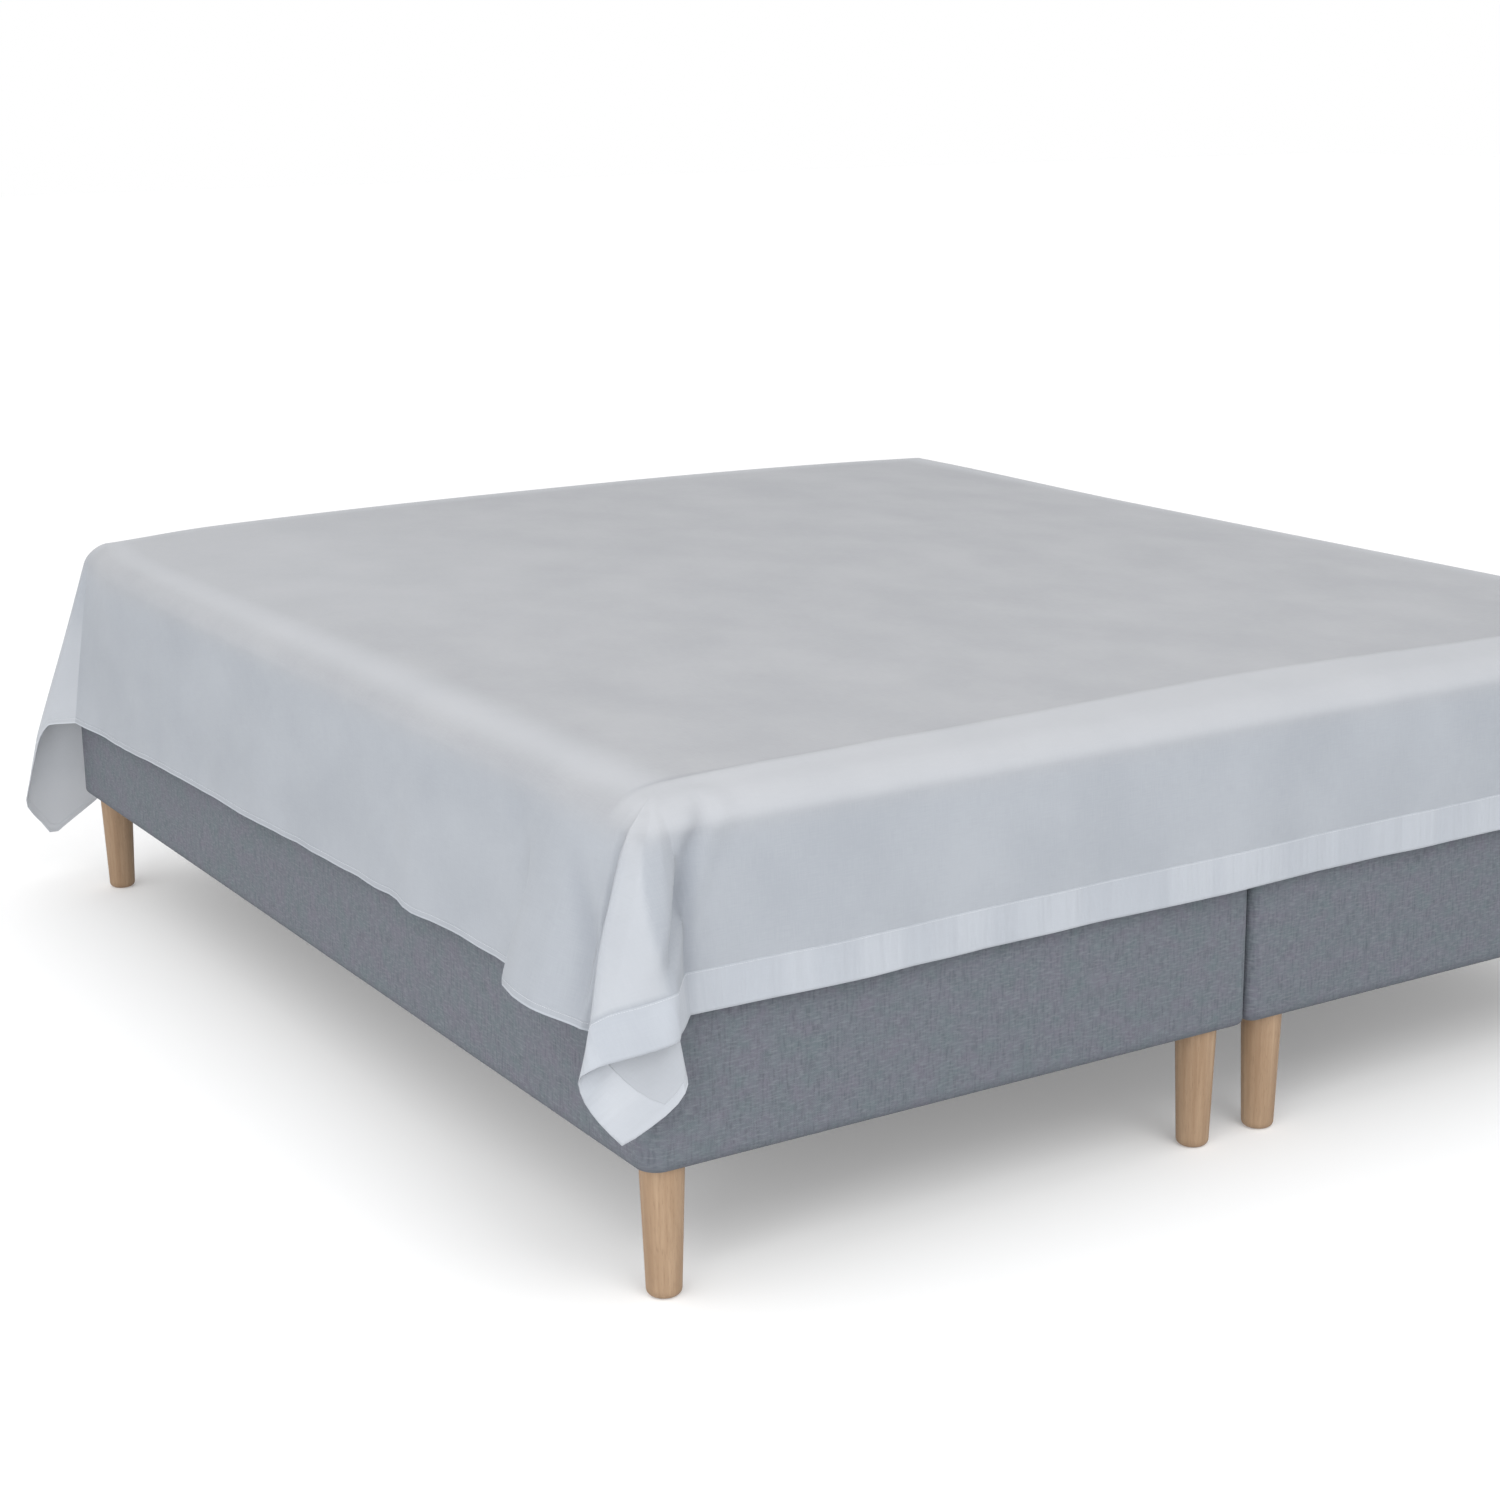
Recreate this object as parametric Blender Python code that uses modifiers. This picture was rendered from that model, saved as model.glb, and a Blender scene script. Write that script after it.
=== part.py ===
"""A cotton flat sheet spread over a double box bed.

The bed is two upholstered bases side by side on turned wooden legs, with one
topper across both. The sheet lies over the topper, rolls over its rounded
shoulder and hangs down all four sides, with a gathered ear at each corner.

Metres, +Z up. X runs across the bed, Y along it: the foot end faces -Y, the
head end +Y. The floor is z = 0 and the origin is the middle of the floor
under the whole.
"""

from collections import namedtuple
from math import ceil, cos, hypot, pi, radians, sin, sqrt

import bmesh
import bpy
from mathutils import Matrix, Vector

# ---------------------------------------------------------------- sizes

BED_WIDTH = 1.800            # both bases together
BED_LENGTH = 2.000
GAP = 0.0003                 # between pieces that touch

LEG_HEIGHT = 0.165
LEG_TOP_RADIUS = 0.027
LEG_FOOT_RADIUS = 0.0212
LEG_EDGE_RADIUS = 0.008      # eased edge round the foot
LEG_SIDES = 32
LEG_INSET_OUTER = 0.041      # leg centre from the bed's long side
LEG_INSET_SEAM = 0.057       # leg centre from the joint between the bases
LEG_INSET_FOOT = 0.038       # leg centre from the foot end
LEG_INSET_HEAD = 0.062       # leg centre from the head end

BASE_HEIGHT = 0.380
BASE_SEAM = 0.003            # clear joint between the two bases
BASE_CORNER_RADIUS = 0.030   # upright edges at the outer corners
BASE_SEAM_RADIUS = 0.018     # upright edges at the joint between the bases
BASE_EDGE_RADIUS = 0.010     # edges round the top and the underside

TOPPER_HEIGHT = 0.060
TOPPER_SET_IN = 0.0015       # topper's sides from the bases' faces
TOPPER_CORNER_RADIUS = 0.040
TOPPER_SHOULDER = 0.034      # rounding of the upper edge
TOPPER_LOWER_EDGE = 0.008    # rounding of the lower edge

CLOTH = 0.002                # thickness of the solid that stands for the sheet
FLAT_WIDTH = 2.347           # the sheet as cut and hemmed, across the bed
FLAT_LENGTH = 2.652          # and along it
SHIFT_TO_HEAD = 0.0905       # the sheet lies this much towards the head
SKEW_SIDE = 0.0218           # the side hems run out of true, metre per metre
SKEW_END = 0.0073            # and so do the end hems

STAND_OFF = 0.0035           # middle of the hanging cloth from the bases' faces
FALL_RADIUS = 0.034          # the cloth's roll over the shoulder
FALL_CORNER = 0.036          # its corner seen from above
SWING_EASE = 0.015           # length in which a ray bends into its slant

SHOULDER_STEPS = 6
HANG_STEPS = 4
FAN_STEP = 6.0               # degrees between rays round a corner, at most

# ---------------------------------------------------------------- levels

BASE_Z = LEG_HEIGHT
TOPPER_Z = BASE_Z + BASE_HEIGHT + GAP
CLOTH_Z = TOPPER_Z + TOPPER_HEIGHT + GAP + CLOTH / 2

# Inner rectangle: where the cloth lies flat inside all four shoulders.
FLAT_X = BED_WIDTH / 2 + STAND_OFF - FALL_CORNER
FLAT_Y = BED_LENGTH / 2 + STAND_OFF - FALL_CORNER
LEVEL = FALL_CORNER - FALL_RADIUS
PLUMB = LEVEL + FALL_RADIUS * pi / 2   # cloth used up where it hangs plumb
SWING_START = LEVEL + FALL_RADIUS * pi / 8

# ---------------------------------------------------------------- folds
#
# The cloth outside the inner rectangle is a set of straight rays. Each starts
# at the rectangle, rolls over the shoulder and then hangs with its own swing:
# how far it moves for each metre it falls, away from the bed's side and away
# from the bed's end. At a corner the rays fan out from one point, because
# there the sheet has a square of cloth more than the bed has edge. The rows
# below are the rays at the crests and the valleys of the folds.

# at: degrees round the corner, from the side (0) to the end (90)
Fan = namedtuple("Fan", "at away_side away_end")

FOOT_FAN = (
    Fan(0, 0.242, 0.023),       # the side's last ray, swung out by the ear
    Fan(15, 0.089, 0.086),      # hidden layer behind the ear
    Fan(28, -0.058, 0.124),
    Fan(31, -0.100, 0.165),     # right fold of the ear
    Fan(34, -0.073, 0.159),
    Fan(44.7, 0.154, 0.128),    # the sheet's own corner
    Fan(54, 0.331, 0.080),
    Fan(56.5, 0.353, 0.088),    # left fold of the ear
    Fan(59, 0.341, 0.126),
    Fan(73, 0.082, 0.241),      # ridge of the front layer
    Fan(78, 0.028, 0.195),
    Fan(90, -0.086, 0.036),     # the end's first plumb ray
)

HEAD_FAN = (
    Fan(0, 0.072, -0.113),
    Fan(15, 0.179, 0.026),      # outermost crest at the side
    Fan(45, 0.212, 0.084),
    Fan(51.7, 0.108, 0.125),    # the sheet's own corner
    Fan(66, -0.079, 0.098),     # fold laid along the head end
    Fan(78, -0.040, 0.050),
    Fan(90, -0.059, 0.033),
)

# at: metres from the middle of the side, towards the head or the right
# away: swing away from that face; along: swing towards +Y or +X
Hang = namedtuple("Hang", "at away along")

LEFT_SIDE = (
    Hang(-0.885, 0.324, -0.030),
    Hang(-0.835, 0.283, 0.080),   # crest of the soft fold by the ear
    Hang(-0.790, 0.104, 0.161),   # and the valley behind it
    Hang(-0.700, 0.061, 0.085),
    Hang(-0.560, 0.042, 0.010),
    Hang(-0.430, 0.080, 0.015),   # small crest
    Hang(-0.370, 0.042, 0.010),
    Hang(-0.100, 0.033, 0.000),
    Hang(0.150, 0.047, 0.000),
    Hang(0.350, 0.033, 0.000),
    Hang(0.600, 0.052, 0.000),
    Hang(0.800, 0.038, 0.000),
)

RIGHT_SIDE = (
    Hang(-0.880, 0.293, -0.020),
    Hang(-0.820, 0.246, 0.075),
    Hang(-0.765, 0.095, 0.140),
    Hang(-0.650, 0.057, 0.055),
    Hang(-0.500, 0.038, 0.000),
    Hang(-0.300, 0.057, 0.000),
    Hang(-0.050, 0.033, 0.000),
    Hang(0.220, 0.052, 0.000),
    Hang(0.480, 0.033, 0.000),
    Hang(0.700, 0.057, 0.000),
    Hang(0.840, 0.038, 0.000),
)

FOOT_END = (
    Hang(-0.760, 0.040, 0.000),
    Hang(-0.640, 0.055, 0.000),
    Hang(-0.450, 0.040, 0.000),
    Hang(-0.100, 0.050, 0.000),
    Hang(0.200, 0.040, 0.000),
    Hang(0.520, 0.055, 0.000),
    Hang(0.740, 0.040, 0.000),
)

HEAD_END = (
    Hang(-0.700, 0.040, 0.000),
    Hang(-0.480, 0.070, 0.000),
    Hang(-0.250, 0.035, 0.000),
    Hang(0.050, 0.065, 0.000),
    Hang(0.300, 0.040, 0.000),
    Hang(0.560, 0.070, 0.000),
    Hang(0.720, 0.040, 0.000),
)

# A crease left across the top near the foot end.
# at: metres from the middle; inset: from the foot end; lift: its height
Crease = namedtuple("Crease", "at inset lift")
FOOT_CREASE = (
    Crease(-0.852, 0.060, 0.0000),
    Crease(-0.700, 0.062, 0.0015),
    Crease(-0.360, 0.076, 0.0035),
    Crease(0.060, 0.096, 0.0030),
    Crease(0.490, 0.070, 0.0035),
    Crease(0.852, 0.060, 0.0000),
)
CREASE_REACH = 0.015         # from the crease's crest to where it lies flat

# Rays between two corners, as distances from the nearer corner; the middle
# of a face takes coarser steps.
NEAR_CORNER = (0.024, 0.048, 0.072, 0.096, 0.120, 0.144, 0.168, 0.200, 0.245)
MIDDLE_STEP = 0.085


def smooth(rows, column, at):
    """Reads a column between its rows, level at each crest and valley."""
    xs = [row.at for row in rows]
    ys = [getattr(row, column) for row in rows]
    last = len(xs) - 1
    k = max(i for i in range(last) if i == 0 or xs[i] <= at)
    steps = [xs[i + 1] - xs[i] for i in range(last)]
    rises = [(ys[i + 1] - ys[i]) / steps[i] for i in range(last)]

    def slope(i):
        if i in (0, last) or rises[i - 1] * rises[i] <= 0:
            return 0.0
        a = 2 * steps[i] + steps[i - 1]
        b = steps[i] + 2 * steps[i - 1]
        return (a + b) / (a / rises[i - 1] + b / rises[i])

    t = (at - xs[k]) / steps[k]
    return (ys[k] * (1 + 2 * t) * (1 - t) ** 2
            + slope(k) * steps[k] * t * (1 - t) ** 2
            + ys[k + 1] * t * t * (3 - 2 * t)
            + slope(k + 1) * steps[k] * t * t * (t - 1))


# ---------------------------------------------------------------- the sheet

# foot: where the ray leaves the inner rectangle; out: its direction seen from
# above; reach: cloth from there to the hem; swing: sideways move per metre
Ray = namedtuple("Ray", "foot out reach swing")


def reach_to_hem(foot, out):
    """Cloth between the inner rectangle and the nearest hem along a ray."""
    x, y = foot
    dx, dy = out
    half = FLAT_WIDTH / 2
    reaches = []
    if abs(dx) > 1e-9:
        side = 1 if dx > 0 else -1
        # side hem: x = side * half - SKEW_SIDE * y
        reaches.append((side * half - SKEW_SIDE * y - x) / (dx + SKEW_SIDE * dy))
    if abs(dy) > 1e-9:
        end = 1 if dy > 0 else -1
        # end hem: y = end * half length + shift + SKEW_END * x
        hem = end * FLAT_LENGTH / 2 + SHIFT_TO_HEAD
        reaches.append((hem + SKEW_END * x - y) / (dy - SKEW_END * dx))
    return min(reaches)


def fan_rays(side, end, table):
    """Rays round one corner, from its side to its end."""
    foot = (side * FLAT_X, end * FLAT_Y)
    turns = [table[0].at]
    for row in table[1:]:
        last = turns[-1]
        count = ceil((row.at - last) / FAN_STEP)
        turns += [last + (row.at - last) * i / count for i in range(1, count + 1)]
    rays = []
    for turn in turns:
        angle = radians(turn)
        out = (side * cos(angle), end * sin(angle))
        swing = (side * smooth(table, "away_side", turn),
                 end * smooth(table, "away_end", turn))
        rays.append(Ray(foot, out, reach_to_hem(foot, out), swing))
    return rays


def face_stations(half):
    """Distances from the middle of a face at which its rays start."""
    start = half - NEAR_CORNER[-1]
    count = round(2 * start / MIDDLE_STEP)
    middle = [-start + 2 * start * i / count for i in range(count + 1)]
    left = [d - half for d in NEAR_CORNER[:-1]]
    right = [half - d for d in reversed(NEAR_CORNER[:-1])]
    return left + middle + right


def side_rays(side, table):
    """Rays down one long side, from the foot end to the head end."""
    foot_row, head_row = FOOT_FAN[0], HEAD_FAN[0]
    rows = (Hang(-FLAT_Y, foot_row.away_side, -foot_row.away_end),
            *table,
            Hang(FLAT_Y, head_row.away_side, head_row.away_end))
    rays = []
    for at in face_stations(FLAT_Y):
        foot = (side * FLAT_X, at)
        out = (side, 0.0)
        swing = (side * smooth(rows, "away", at), smooth(rows, "along", at))
        rays.append(Ray(foot, out, reach_to_hem(foot, out), swing))
    return rays


def end_rays(end, table, corner_row):
    """Rays down the foot or head end, from left to right."""
    rows = (Hang(-FLAT_X, corner_row.away_end, -corner_row.away_side),
            *table,
            Hang(FLAT_X, corner_row.away_end, corner_row.away_side))
    rays = []
    for at in face_stations(FLAT_X):
        foot = (at, end * FLAT_Y)
        out = (0.0, end)
        swing = (smooth(rows, "along", at), end * smooth(rows, "away", at))
        rays.append(Ray(foot, out, reach_to_hem(foot, out), swing))
    return rays


def all_rays():
    """All rays, once round the bed: foot, right, head, left."""
    return (end_rays(-1, FOOT_END, FOOT_FAN[-1])
            + fan_rays(1, -1, FOOT_FAN)[::-1]
            + side_rays(1, RIGHT_SIDE)
            + fan_rays(1, 1, HEAD_FAN)
            + end_rays(1, HEAD_END, HEAD_FAN[-1])[::-1]
            + fan_rays(-1, 1, HEAD_FAN)[::-1]
            + side_rays(-1, LEFT_SIDE)[::-1]
            + fan_rays(-1, -1, FOOT_FAN))


def along_ray(ray, used):
    """Point of the cloth on a ray, after a length of cloth is used up."""
    swinging = max(0.0, used - SWING_START)
    swung = sqrt(swinging ** 2 + SWING_EASE ** 2) - SWING_EASE
    if used <= PLUMB:
        turn = (used - LEVEL) / FALL_RADIUS
        out = LEVEL + FALL_RADIUS * sin(turn)
        drop = FALL_RADIUS * (1 - cos(turn))
    else:
        out = FALL_CORNER
        drop = FALL_RADIUS + used - PLUMB
    drop -= swung * (1 - sqrt(1 - hypot(*ray.swing) ** 2))
    x = ray.foot[0] + ray.out[0] * out + ray.swing[0] * swung
    y = ray.foot[1] + ray.out[1] * out + ray.swing[1] * swung
    return Vector((x, y, CLOTH_Z - drop))


def loft_top(mesh, ring):
    """Closes the ring: the foot crease as a strip, then the flat middle."""
    stations = face_stations(FLAT_X)
    count = len(stations)
    rows = [ring[:count]]
    for reach in (-CREASE_REACH, 0.0, CREASE_REACH):
        row = []
        for at in stations:
            y = smooth(FOOT_CREASE, "inset", at) - BED_LENGTH / 2 + reach
            lift = 0.0 if reach else smooth(FOOT_CREASE, "lift", at)
            row.append(mesh.verts.new((at, y, CLOTH_Z + lift)))
        rows.append(row)
    for near, far in zip(rows, rows[1:]):
        for i in range(count - 1):
            mesh.faces.new((near[i], near[i + 1], far[i + 1], far[i]))
    left_end = [row[0] for row in rows]
    right_end = [row[-1] for row in reversed(rows[:-1])]
    mesh.faces.new(ring[count:] + left_end + rows[-1][1:] + right_end)


def build_sheet():
    """Rings of cloth round the bed, lofted down to the hem, and the top."""
    rays = all_rays()
    mesh = bmesh.new()
    rings = []
    for step in range(SHOULDER_STEPS + 1):
        used = LEVEL + (PLUMB - LEVEL) * step / SHOULDER_STEPS
        rings.append([mesh.verts.new(along_ray(ray, used)) for ray in rays])
    for step in range(1, HANG_STEPS + 1):
        share = step / HANG_STEPS
        rings.append([mesh.verts.new(along_ray(ray, PLUMB + (ray.reach - PLUMB) * share))
                      for ray in rays])
    loft_top(mesh, rings[0])
    count = len(rays)
    for upper, lower in zip(rings, rings[1:]):
        for i in range(count):
            j = (i + 1) % count
            mesh.faces.new((upper[i], lower[i], lower[j], upper[j]))
    sheet = object_from("sheet", mesh)
    solid = sheet.modifiers.new("cloth", "SOLIDIFY")
    solid.thickness = CLOTH
    solid.offset = 0.0
    solid.use_even_offset = False
    return sheet


# ---------------------------------------------------------------- the bed

# name: as in the model; side: -1 left, 1 right
Half = namedtuple("Half", "name side")
HALVES = (Half("left", -1), Half("right", 1))

# name: as in the model; end: -1 foot, 1 head; leg_inset: leg from that end
End = namedtuple("End", "name end leg_inset")
ENDS = (End("foot", -1, LEG_INSET_FOOT), End("head", 1, LEG_INSET_HEAD))


def rounded_block(name, low, high, left, right, lower, upper):
    """A box with rounded upright edges and softened lower and upper edges.

    left and right are its upright edges on those sides. All four are
    (radius, segments).
    """
    mesh = bmesh.new()
    bmesh.ops.create_cube(mesh, size=1.0)
    size = [b - a for a, b in zip(low, high)]
    middle = [(a + b) / 2 for a, b in zip(low, high)]
    bmesh.ops.transform(mesh, matrix=Matrix.Diagonal((*size, 1.0)), verts=mesh.verts)
    bmesh.ops.translate(mesh, vec=middle, verts=mesh.verts)

    def bevel(edges, radius, segments):
        bmesh.ops.bevel(mesh, geom=edges, offset=radius, segments=segments,
                        profile=0.5, affect="EDGES", clamp_overlap=False)

    def level_edges(z):
        return [edge for edge in mesh.edges
                if all(abs(v.co.z - z) < 1e-6 for v in edge.verts)]

    def upright_edges(x):
        return [edge for edge in mesh.edges
                if all(abs(v.co.x - x) < 1e-6 for v in edge.verts)
                and abs(edge.verts[0].co.z - edge.verts[1].co.z) > 1e-6]

    bevel(upright_edges(low[0]), *left)
    bevel(upright_edges(high[0]), *right)
    bevel(level_edges(low[2]), *lower)
    bevel(level_edges(high[2]), *upper)
    return object_from(name, mesh)


def build_base(half):
    """One upholstered base."""
    inner = half.side * BASE_SEAM / 2
    outer = half.side * BED_WIDTH / 2
    low = (min(inner, outer), -BED_LENGTH / 2, BASE_Z)
    high = (max(inner, outer), BED_LENGTH / 2, BASE_Z + BASE_HEIGHT)
    left, right = (BASE_CORNER_RADIUS, 6), (BASE_SEAM_RADIUS, 4)
    if half.side > 0:
        left, right = right, left
    return rounded_block(f"base_{half.name}", low, high, left, right,
                         lower=(BASE_EDGE_RADIUS, 3),
                         upper=(BASE_EDGE_RADIUS, 3))


def build_topper():
    """The topper across both bases, with a deep rounded shoulder."""
    x = BED_WIDTH / 2 - TOPPER_SET_IN
    y = BED_LENGTH / 2 - TOPPER_SET_IN
    return rounded_block("topper", (-x, -y, TOPPER_Z), (x, y, TOPPER_Z + TOPPER_HEIGHT),
                         left=(TOPPER_CORNER_RADIUS, 8),
                         right=(TOPPER_CORNER_RADIUS, 8),
                         lower=(TOPPER_LOWER_EDGE, 3),
                         upper=(TOPPER_SHOULDER, 7))


def leg_profile():
    """Half outline of a leg: down its tapering side and round its foot."""
    top = LEG_HEIGHT - GAP
    steps = 6
    points = [(0.0, top), (LEG_TOP_RADIUS, top)]
    for i in range(steps + 1):
        turn = pi / 2 * i / steps
        points.append((LEG_FOOT_RADIUS - LEG_EDGE_RADIUS * (1 - cos(turn)),
                       LEG_EDGE_RADIUS * (1 - sin(turn))))
    points.append((0.0, 0.0))
    return points


def build_leg(name, x, y):
    """A turned leg: its profile swept once round."""
    mesh = bmesh.new()
    verts = [mesh.verts.new((r, 0.0, z)) for r, z in leg_profile()]
    for a, b in zip(verts, verts[1:]):
        mesh.edges.new((a, b))
    leg = object_from(name, mesh)
    sweep = leg.modifiers.new("turning", "SCREW")
    sweep.steps = LEG_SIDES
    sweep.render_steps = LEG_SIDES
    sweep.use_merge_vertices = True
    sweep.merge_threshold = 1e-5
    leg.location = (x, y, 0.0)
    return leg


def build_legs():
    """Four legs under each base."""
    legs = []
    for half in HALVES:
        places = (("outer", BED_WIDTH / 2 - LEG_INSET_OUTER), ("seam", LEG_INSET_SEAM))
        for place, x in places:
            for end in ENDS:
                name = f"leg_{half.name}_{place}_{end.name}"
                y = end.end * (BED_LENGTH / 2 - end.leg_inset)
                legs.append(build_leg(name, half.side * x, y))
    return legs


# ---------------------------------------------------------------- finishes

# colour: linear red, green and blue
Finish = namedtuple("Finish", "name colour roughness")
COTTON = Finish("white_cotton", (0.62, 0.64, 0.67), 0.85)
TICKING = Finish("white_ticking", (0.70, 0.70, 0.70), 0.90)
TWEED = Finish("grey_tweed", (0.16, 0.18, 0.21), 0.95)
OAK = Finish("oiled_oak", (0.48, 0.31, 0.19), 0.55)


def material(finish):
    """The finish as a Principled material, made once."""
    found = bpy.data.materials.get(finish.name)
    if found:
        return found
    made = bpy.data.materials.new(finish.name)
    made.use_nodes = True
    shader = made.node_tree.nodes["Principled BSDF"]
    shader.inputs["Base Color"].default_value = (*finish.colour, 1.0)
    shader.inputs["Roughness"].default_value = finish.roughness
    shader.inputs["Metallic"].default_value = 0.0
    return made


def object_from(name, mesh):
    """A new object of this name from a finished bmesh."""
    data = bpy.data.meshes.new(name)
    mesh.to_mesh(data)
    mesh.free()
    made = bpy.data.objects.new(name, data)
    parts_collection().objects.link(made)
    return made


def parts_collection():
    """The collection that holds the object's parts."""
    name = "flat_sheet_on_box_bed"
    found = bpy.data.collections.get(name)
    if not found:
        found = bpy.data.collections.new(name)
        bpy.context.scene.collection.children.link(found)
    return found


def main():
    for old in list(bpy.data.objects):
        bpy.data.objects.remove(old)
    finished = [(build_sheet(), COTTON), (build_topper(), TICKING)]
    finished += [(build_base(half), TWEED) for half in HALVES]
    finished += [(leg, OAK) for leg in build_legs()]
    for part, finish in finished:
        part.data.materials.append(material(finish))
        part.data.shade_smooth()
        part.data.set_sharp_from_angle(angle=radians(35))


main()
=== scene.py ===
# %% [markdown]
# # A cotton flat sheet over a double box bed
#
# Two upholstered bases stand side by side on turned legs, with one topper
# across both. A thin white sheet is thrown over the topper, so that it hangs
# down all four sides. We dress the bare model of that bed with cloth, seams,
# wood grain and stitches. Metres, +Z up, the foot end faces -Y.

# %% Load the frame
from collections import namedtuple
from math import ceil, cos, pi, radians, sin

import bmesh
import bpy
import numpy as np
from mathutils import Matrix, Vector, noise


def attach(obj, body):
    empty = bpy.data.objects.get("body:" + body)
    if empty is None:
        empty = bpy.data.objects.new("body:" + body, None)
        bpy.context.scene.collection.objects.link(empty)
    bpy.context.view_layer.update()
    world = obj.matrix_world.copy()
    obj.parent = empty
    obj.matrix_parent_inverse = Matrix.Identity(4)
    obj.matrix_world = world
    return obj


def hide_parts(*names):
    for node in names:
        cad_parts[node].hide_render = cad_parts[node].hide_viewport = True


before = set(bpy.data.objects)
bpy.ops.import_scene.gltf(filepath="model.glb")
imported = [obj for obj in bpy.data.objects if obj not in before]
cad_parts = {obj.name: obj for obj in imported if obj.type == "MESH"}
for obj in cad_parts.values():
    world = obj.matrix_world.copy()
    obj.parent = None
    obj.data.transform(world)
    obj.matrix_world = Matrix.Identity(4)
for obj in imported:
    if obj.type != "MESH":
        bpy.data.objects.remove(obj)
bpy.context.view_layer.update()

# %% [markdown]
# ## The sizes
#
# Every piece here has to lie where the bare model has it, so the sizes come
# first and carry the model's numbers. The bed is 1.8 m by 2.0 m. The sheet is
# much bigger than that, and the spare cloth is what hangs down.

# %% Sizes of the bed and the sheet
BED_WIDTH = 1.800
BED_LENGTH = 2.000
GAP = 0.0003                   # between pieces that touch

LEG_HEIGHT = 0.165
LEG_TOP_RADIUS = 0.027
LEG_FOOT_RADIUS = 0.0212
LEG_EDGE_RADIUS = 0.008        # the foot's eased edge
LEG_INSET_OUTER = 0.041        # from the bed's sides to the outer legs' middles
LEG_INSET_SEAM = 0.057         # from the seam between the bases
LEG_INSET_FOOT = 0.038
LEG_INSET_HEAD = 0.062

BASE_HEIGHT = 0.380
BASE_SEAM = 0.003              # the slit between the two bases
BASE_CORNER_RADIUS = 0.030
BASE_SEAM_RADIUS = 0.018       # of the corners beside the slit
BASE_EDGE_RADIUS = 0.010

TOPPER_HEIGHT = 0.060
TOPPER_SET_IN = 0.0015         # it is this much smaller than the bases all round
TOPPER_CORNER_RADIUS = 0.040
TOPPER_SHOULDER = 0.034        # radius of its upper edge
TOPPER_LOWER_EDGE = 0.008

FLAT_WIDTH = 2.347             # the sheet as cut and hemmed
FLAT_LENGTH = 2.652
SHIFT_TO_HEAD = 0.0905         # how it was laid: towards the head end,
SKEW_SIDE = 0.0218             # and turned, in metres per metre
SKEW_END = 0.0073
STAND_OFF = 0.0035             # the hanging cloth's distance from the bed
FALL_RADIUS = 0.034            # it rolls over the shoulder on this radius
FALL_CORNER = 0.036            # and round the corners on this one
SWING_EASE = 0.015             # a fold begins softly over this much cloth

BASE_Z = LEG_HEIGHT
BASE_TOP = BASE_Z + BASE_HEIGHT
TOPPER_Z = BASE_TOP + GAP
TOPPER_TOP = TOPPER_Z + TOPPER_HEIGHT
CLOTH_Z = TOPPER_TOP + GAP + 0.001     # the middle of the bare model's cloth
FLAT_X = BED_WIDTH / 2 + STAND_OFF - FALL_CORNER
FLAT_Y = BED_LENGTH / 2 + STAND_OFF - FALL_CORNER
LEVEL = FALL_CORNER - FALL_RADIUS              # cloth used up before it bends,
SWING_START = LEVEL + FALL_RADIUS * pi / 8     # before a fold can begin,
PLUMB = LEVEL + FALL_RADIUS * pi / 2           # and before it hangs
print(f"cloth lies at {CLOTH_Z:.4f} m and hangs from {CLOTH_Z - FALL_RADIUS:.4f} m down")

# %% [markdown]
# ## A plan of rays
#
# Bases, topper and sheet are all wider than they are high, with rounded
# corners. All three can be built the same way: a flat middle, and rays that
# leave its edge and go down over the side. A face has parallel rays, and a
# corner has a fan of rays from one point. Bevelling a cube is quicker, but a
# plan of rays gives us even quads to shape, and the sheet needs the fans for
# its folds.

# %% The plan
Plan = namedtuple("Plan", "start out radius face grid edge")


def ray_plan(corners, radii, across, along, turns):
    """Rays once round: foot end, right side, head end, left side.

    corners: where each corner's fan starts, from foot left anticlockwise;
    across, along: shares along a face at which its rays start.
    """
    corners, radii = np.array(corners, float), np.array(radii, float)
    s, t = (np.concatenate([[0.0], part, [1.0]]) for part in (across, along))
    foot = corners[0] + np.outer(s, corners[1] - corners[0])
    head = corners[3] + np.outer(s, corners[2] - corners[3])
    grid = foot[:, None] * (1 - t)[None, :, None] + head[:, None] * t[None, :, None]
    number = np.arange(len(s) * len(t)).reshape(len(s), len(t))
    sides = ((number[1:-1, 0], s[1:-1], 0, 1), (number[-1, 1:-1], t[1:-1], 1, 2),
             (number[1:-1, -1][::-1], 1 - s[1:-1][::-1], 2, 3),
             (number[0, 1:-1][::-1], 1 - t[1:-1][::-1], 3, 0))
    parts = []
    for face, (edge, share, near, far) in enumerate(sides):
        outward = -90 + 90 * face
        parts.append((edge, np.full(len(edge), float(outward)),
                      radii[near] + (radii[far] - radii[near]) * share,
                      np.full(len(edge), face)))
        corner = number[(-1, -1, 0, 0)[face], (0, -1, -1, 0)[face]]
        parts.append((np.full(len(turns), corner), outward + np.array(turns, float),
                      np.full(len(turns), radii[far]), np.full(len(turns), face + 0.5)))
    edge, turn, radius, face = (np.concatenate(part) for part in zip(*parts))
    out = np.stack([np.cos(np.radians(turn)), np.sin(np.radians(turn))], axis=1)
    return Plan(grid.reshape(-1, 2)[edge], out, radius, face, grid, edge)


def graded(length, fine, reach, coarse):
    """Shares along a face: fine steps near its two ends, coarse between."""
    near = np.linspace(0, reach, round(reach / fine) + 1)
    middle = np.linspace(reach, length - reach, ceil((length - 2 * reach) / coarse) + 1)
    return np.concatenate([near[1:-1], middle, length - near[::-1][1:-1]]) / length


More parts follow.
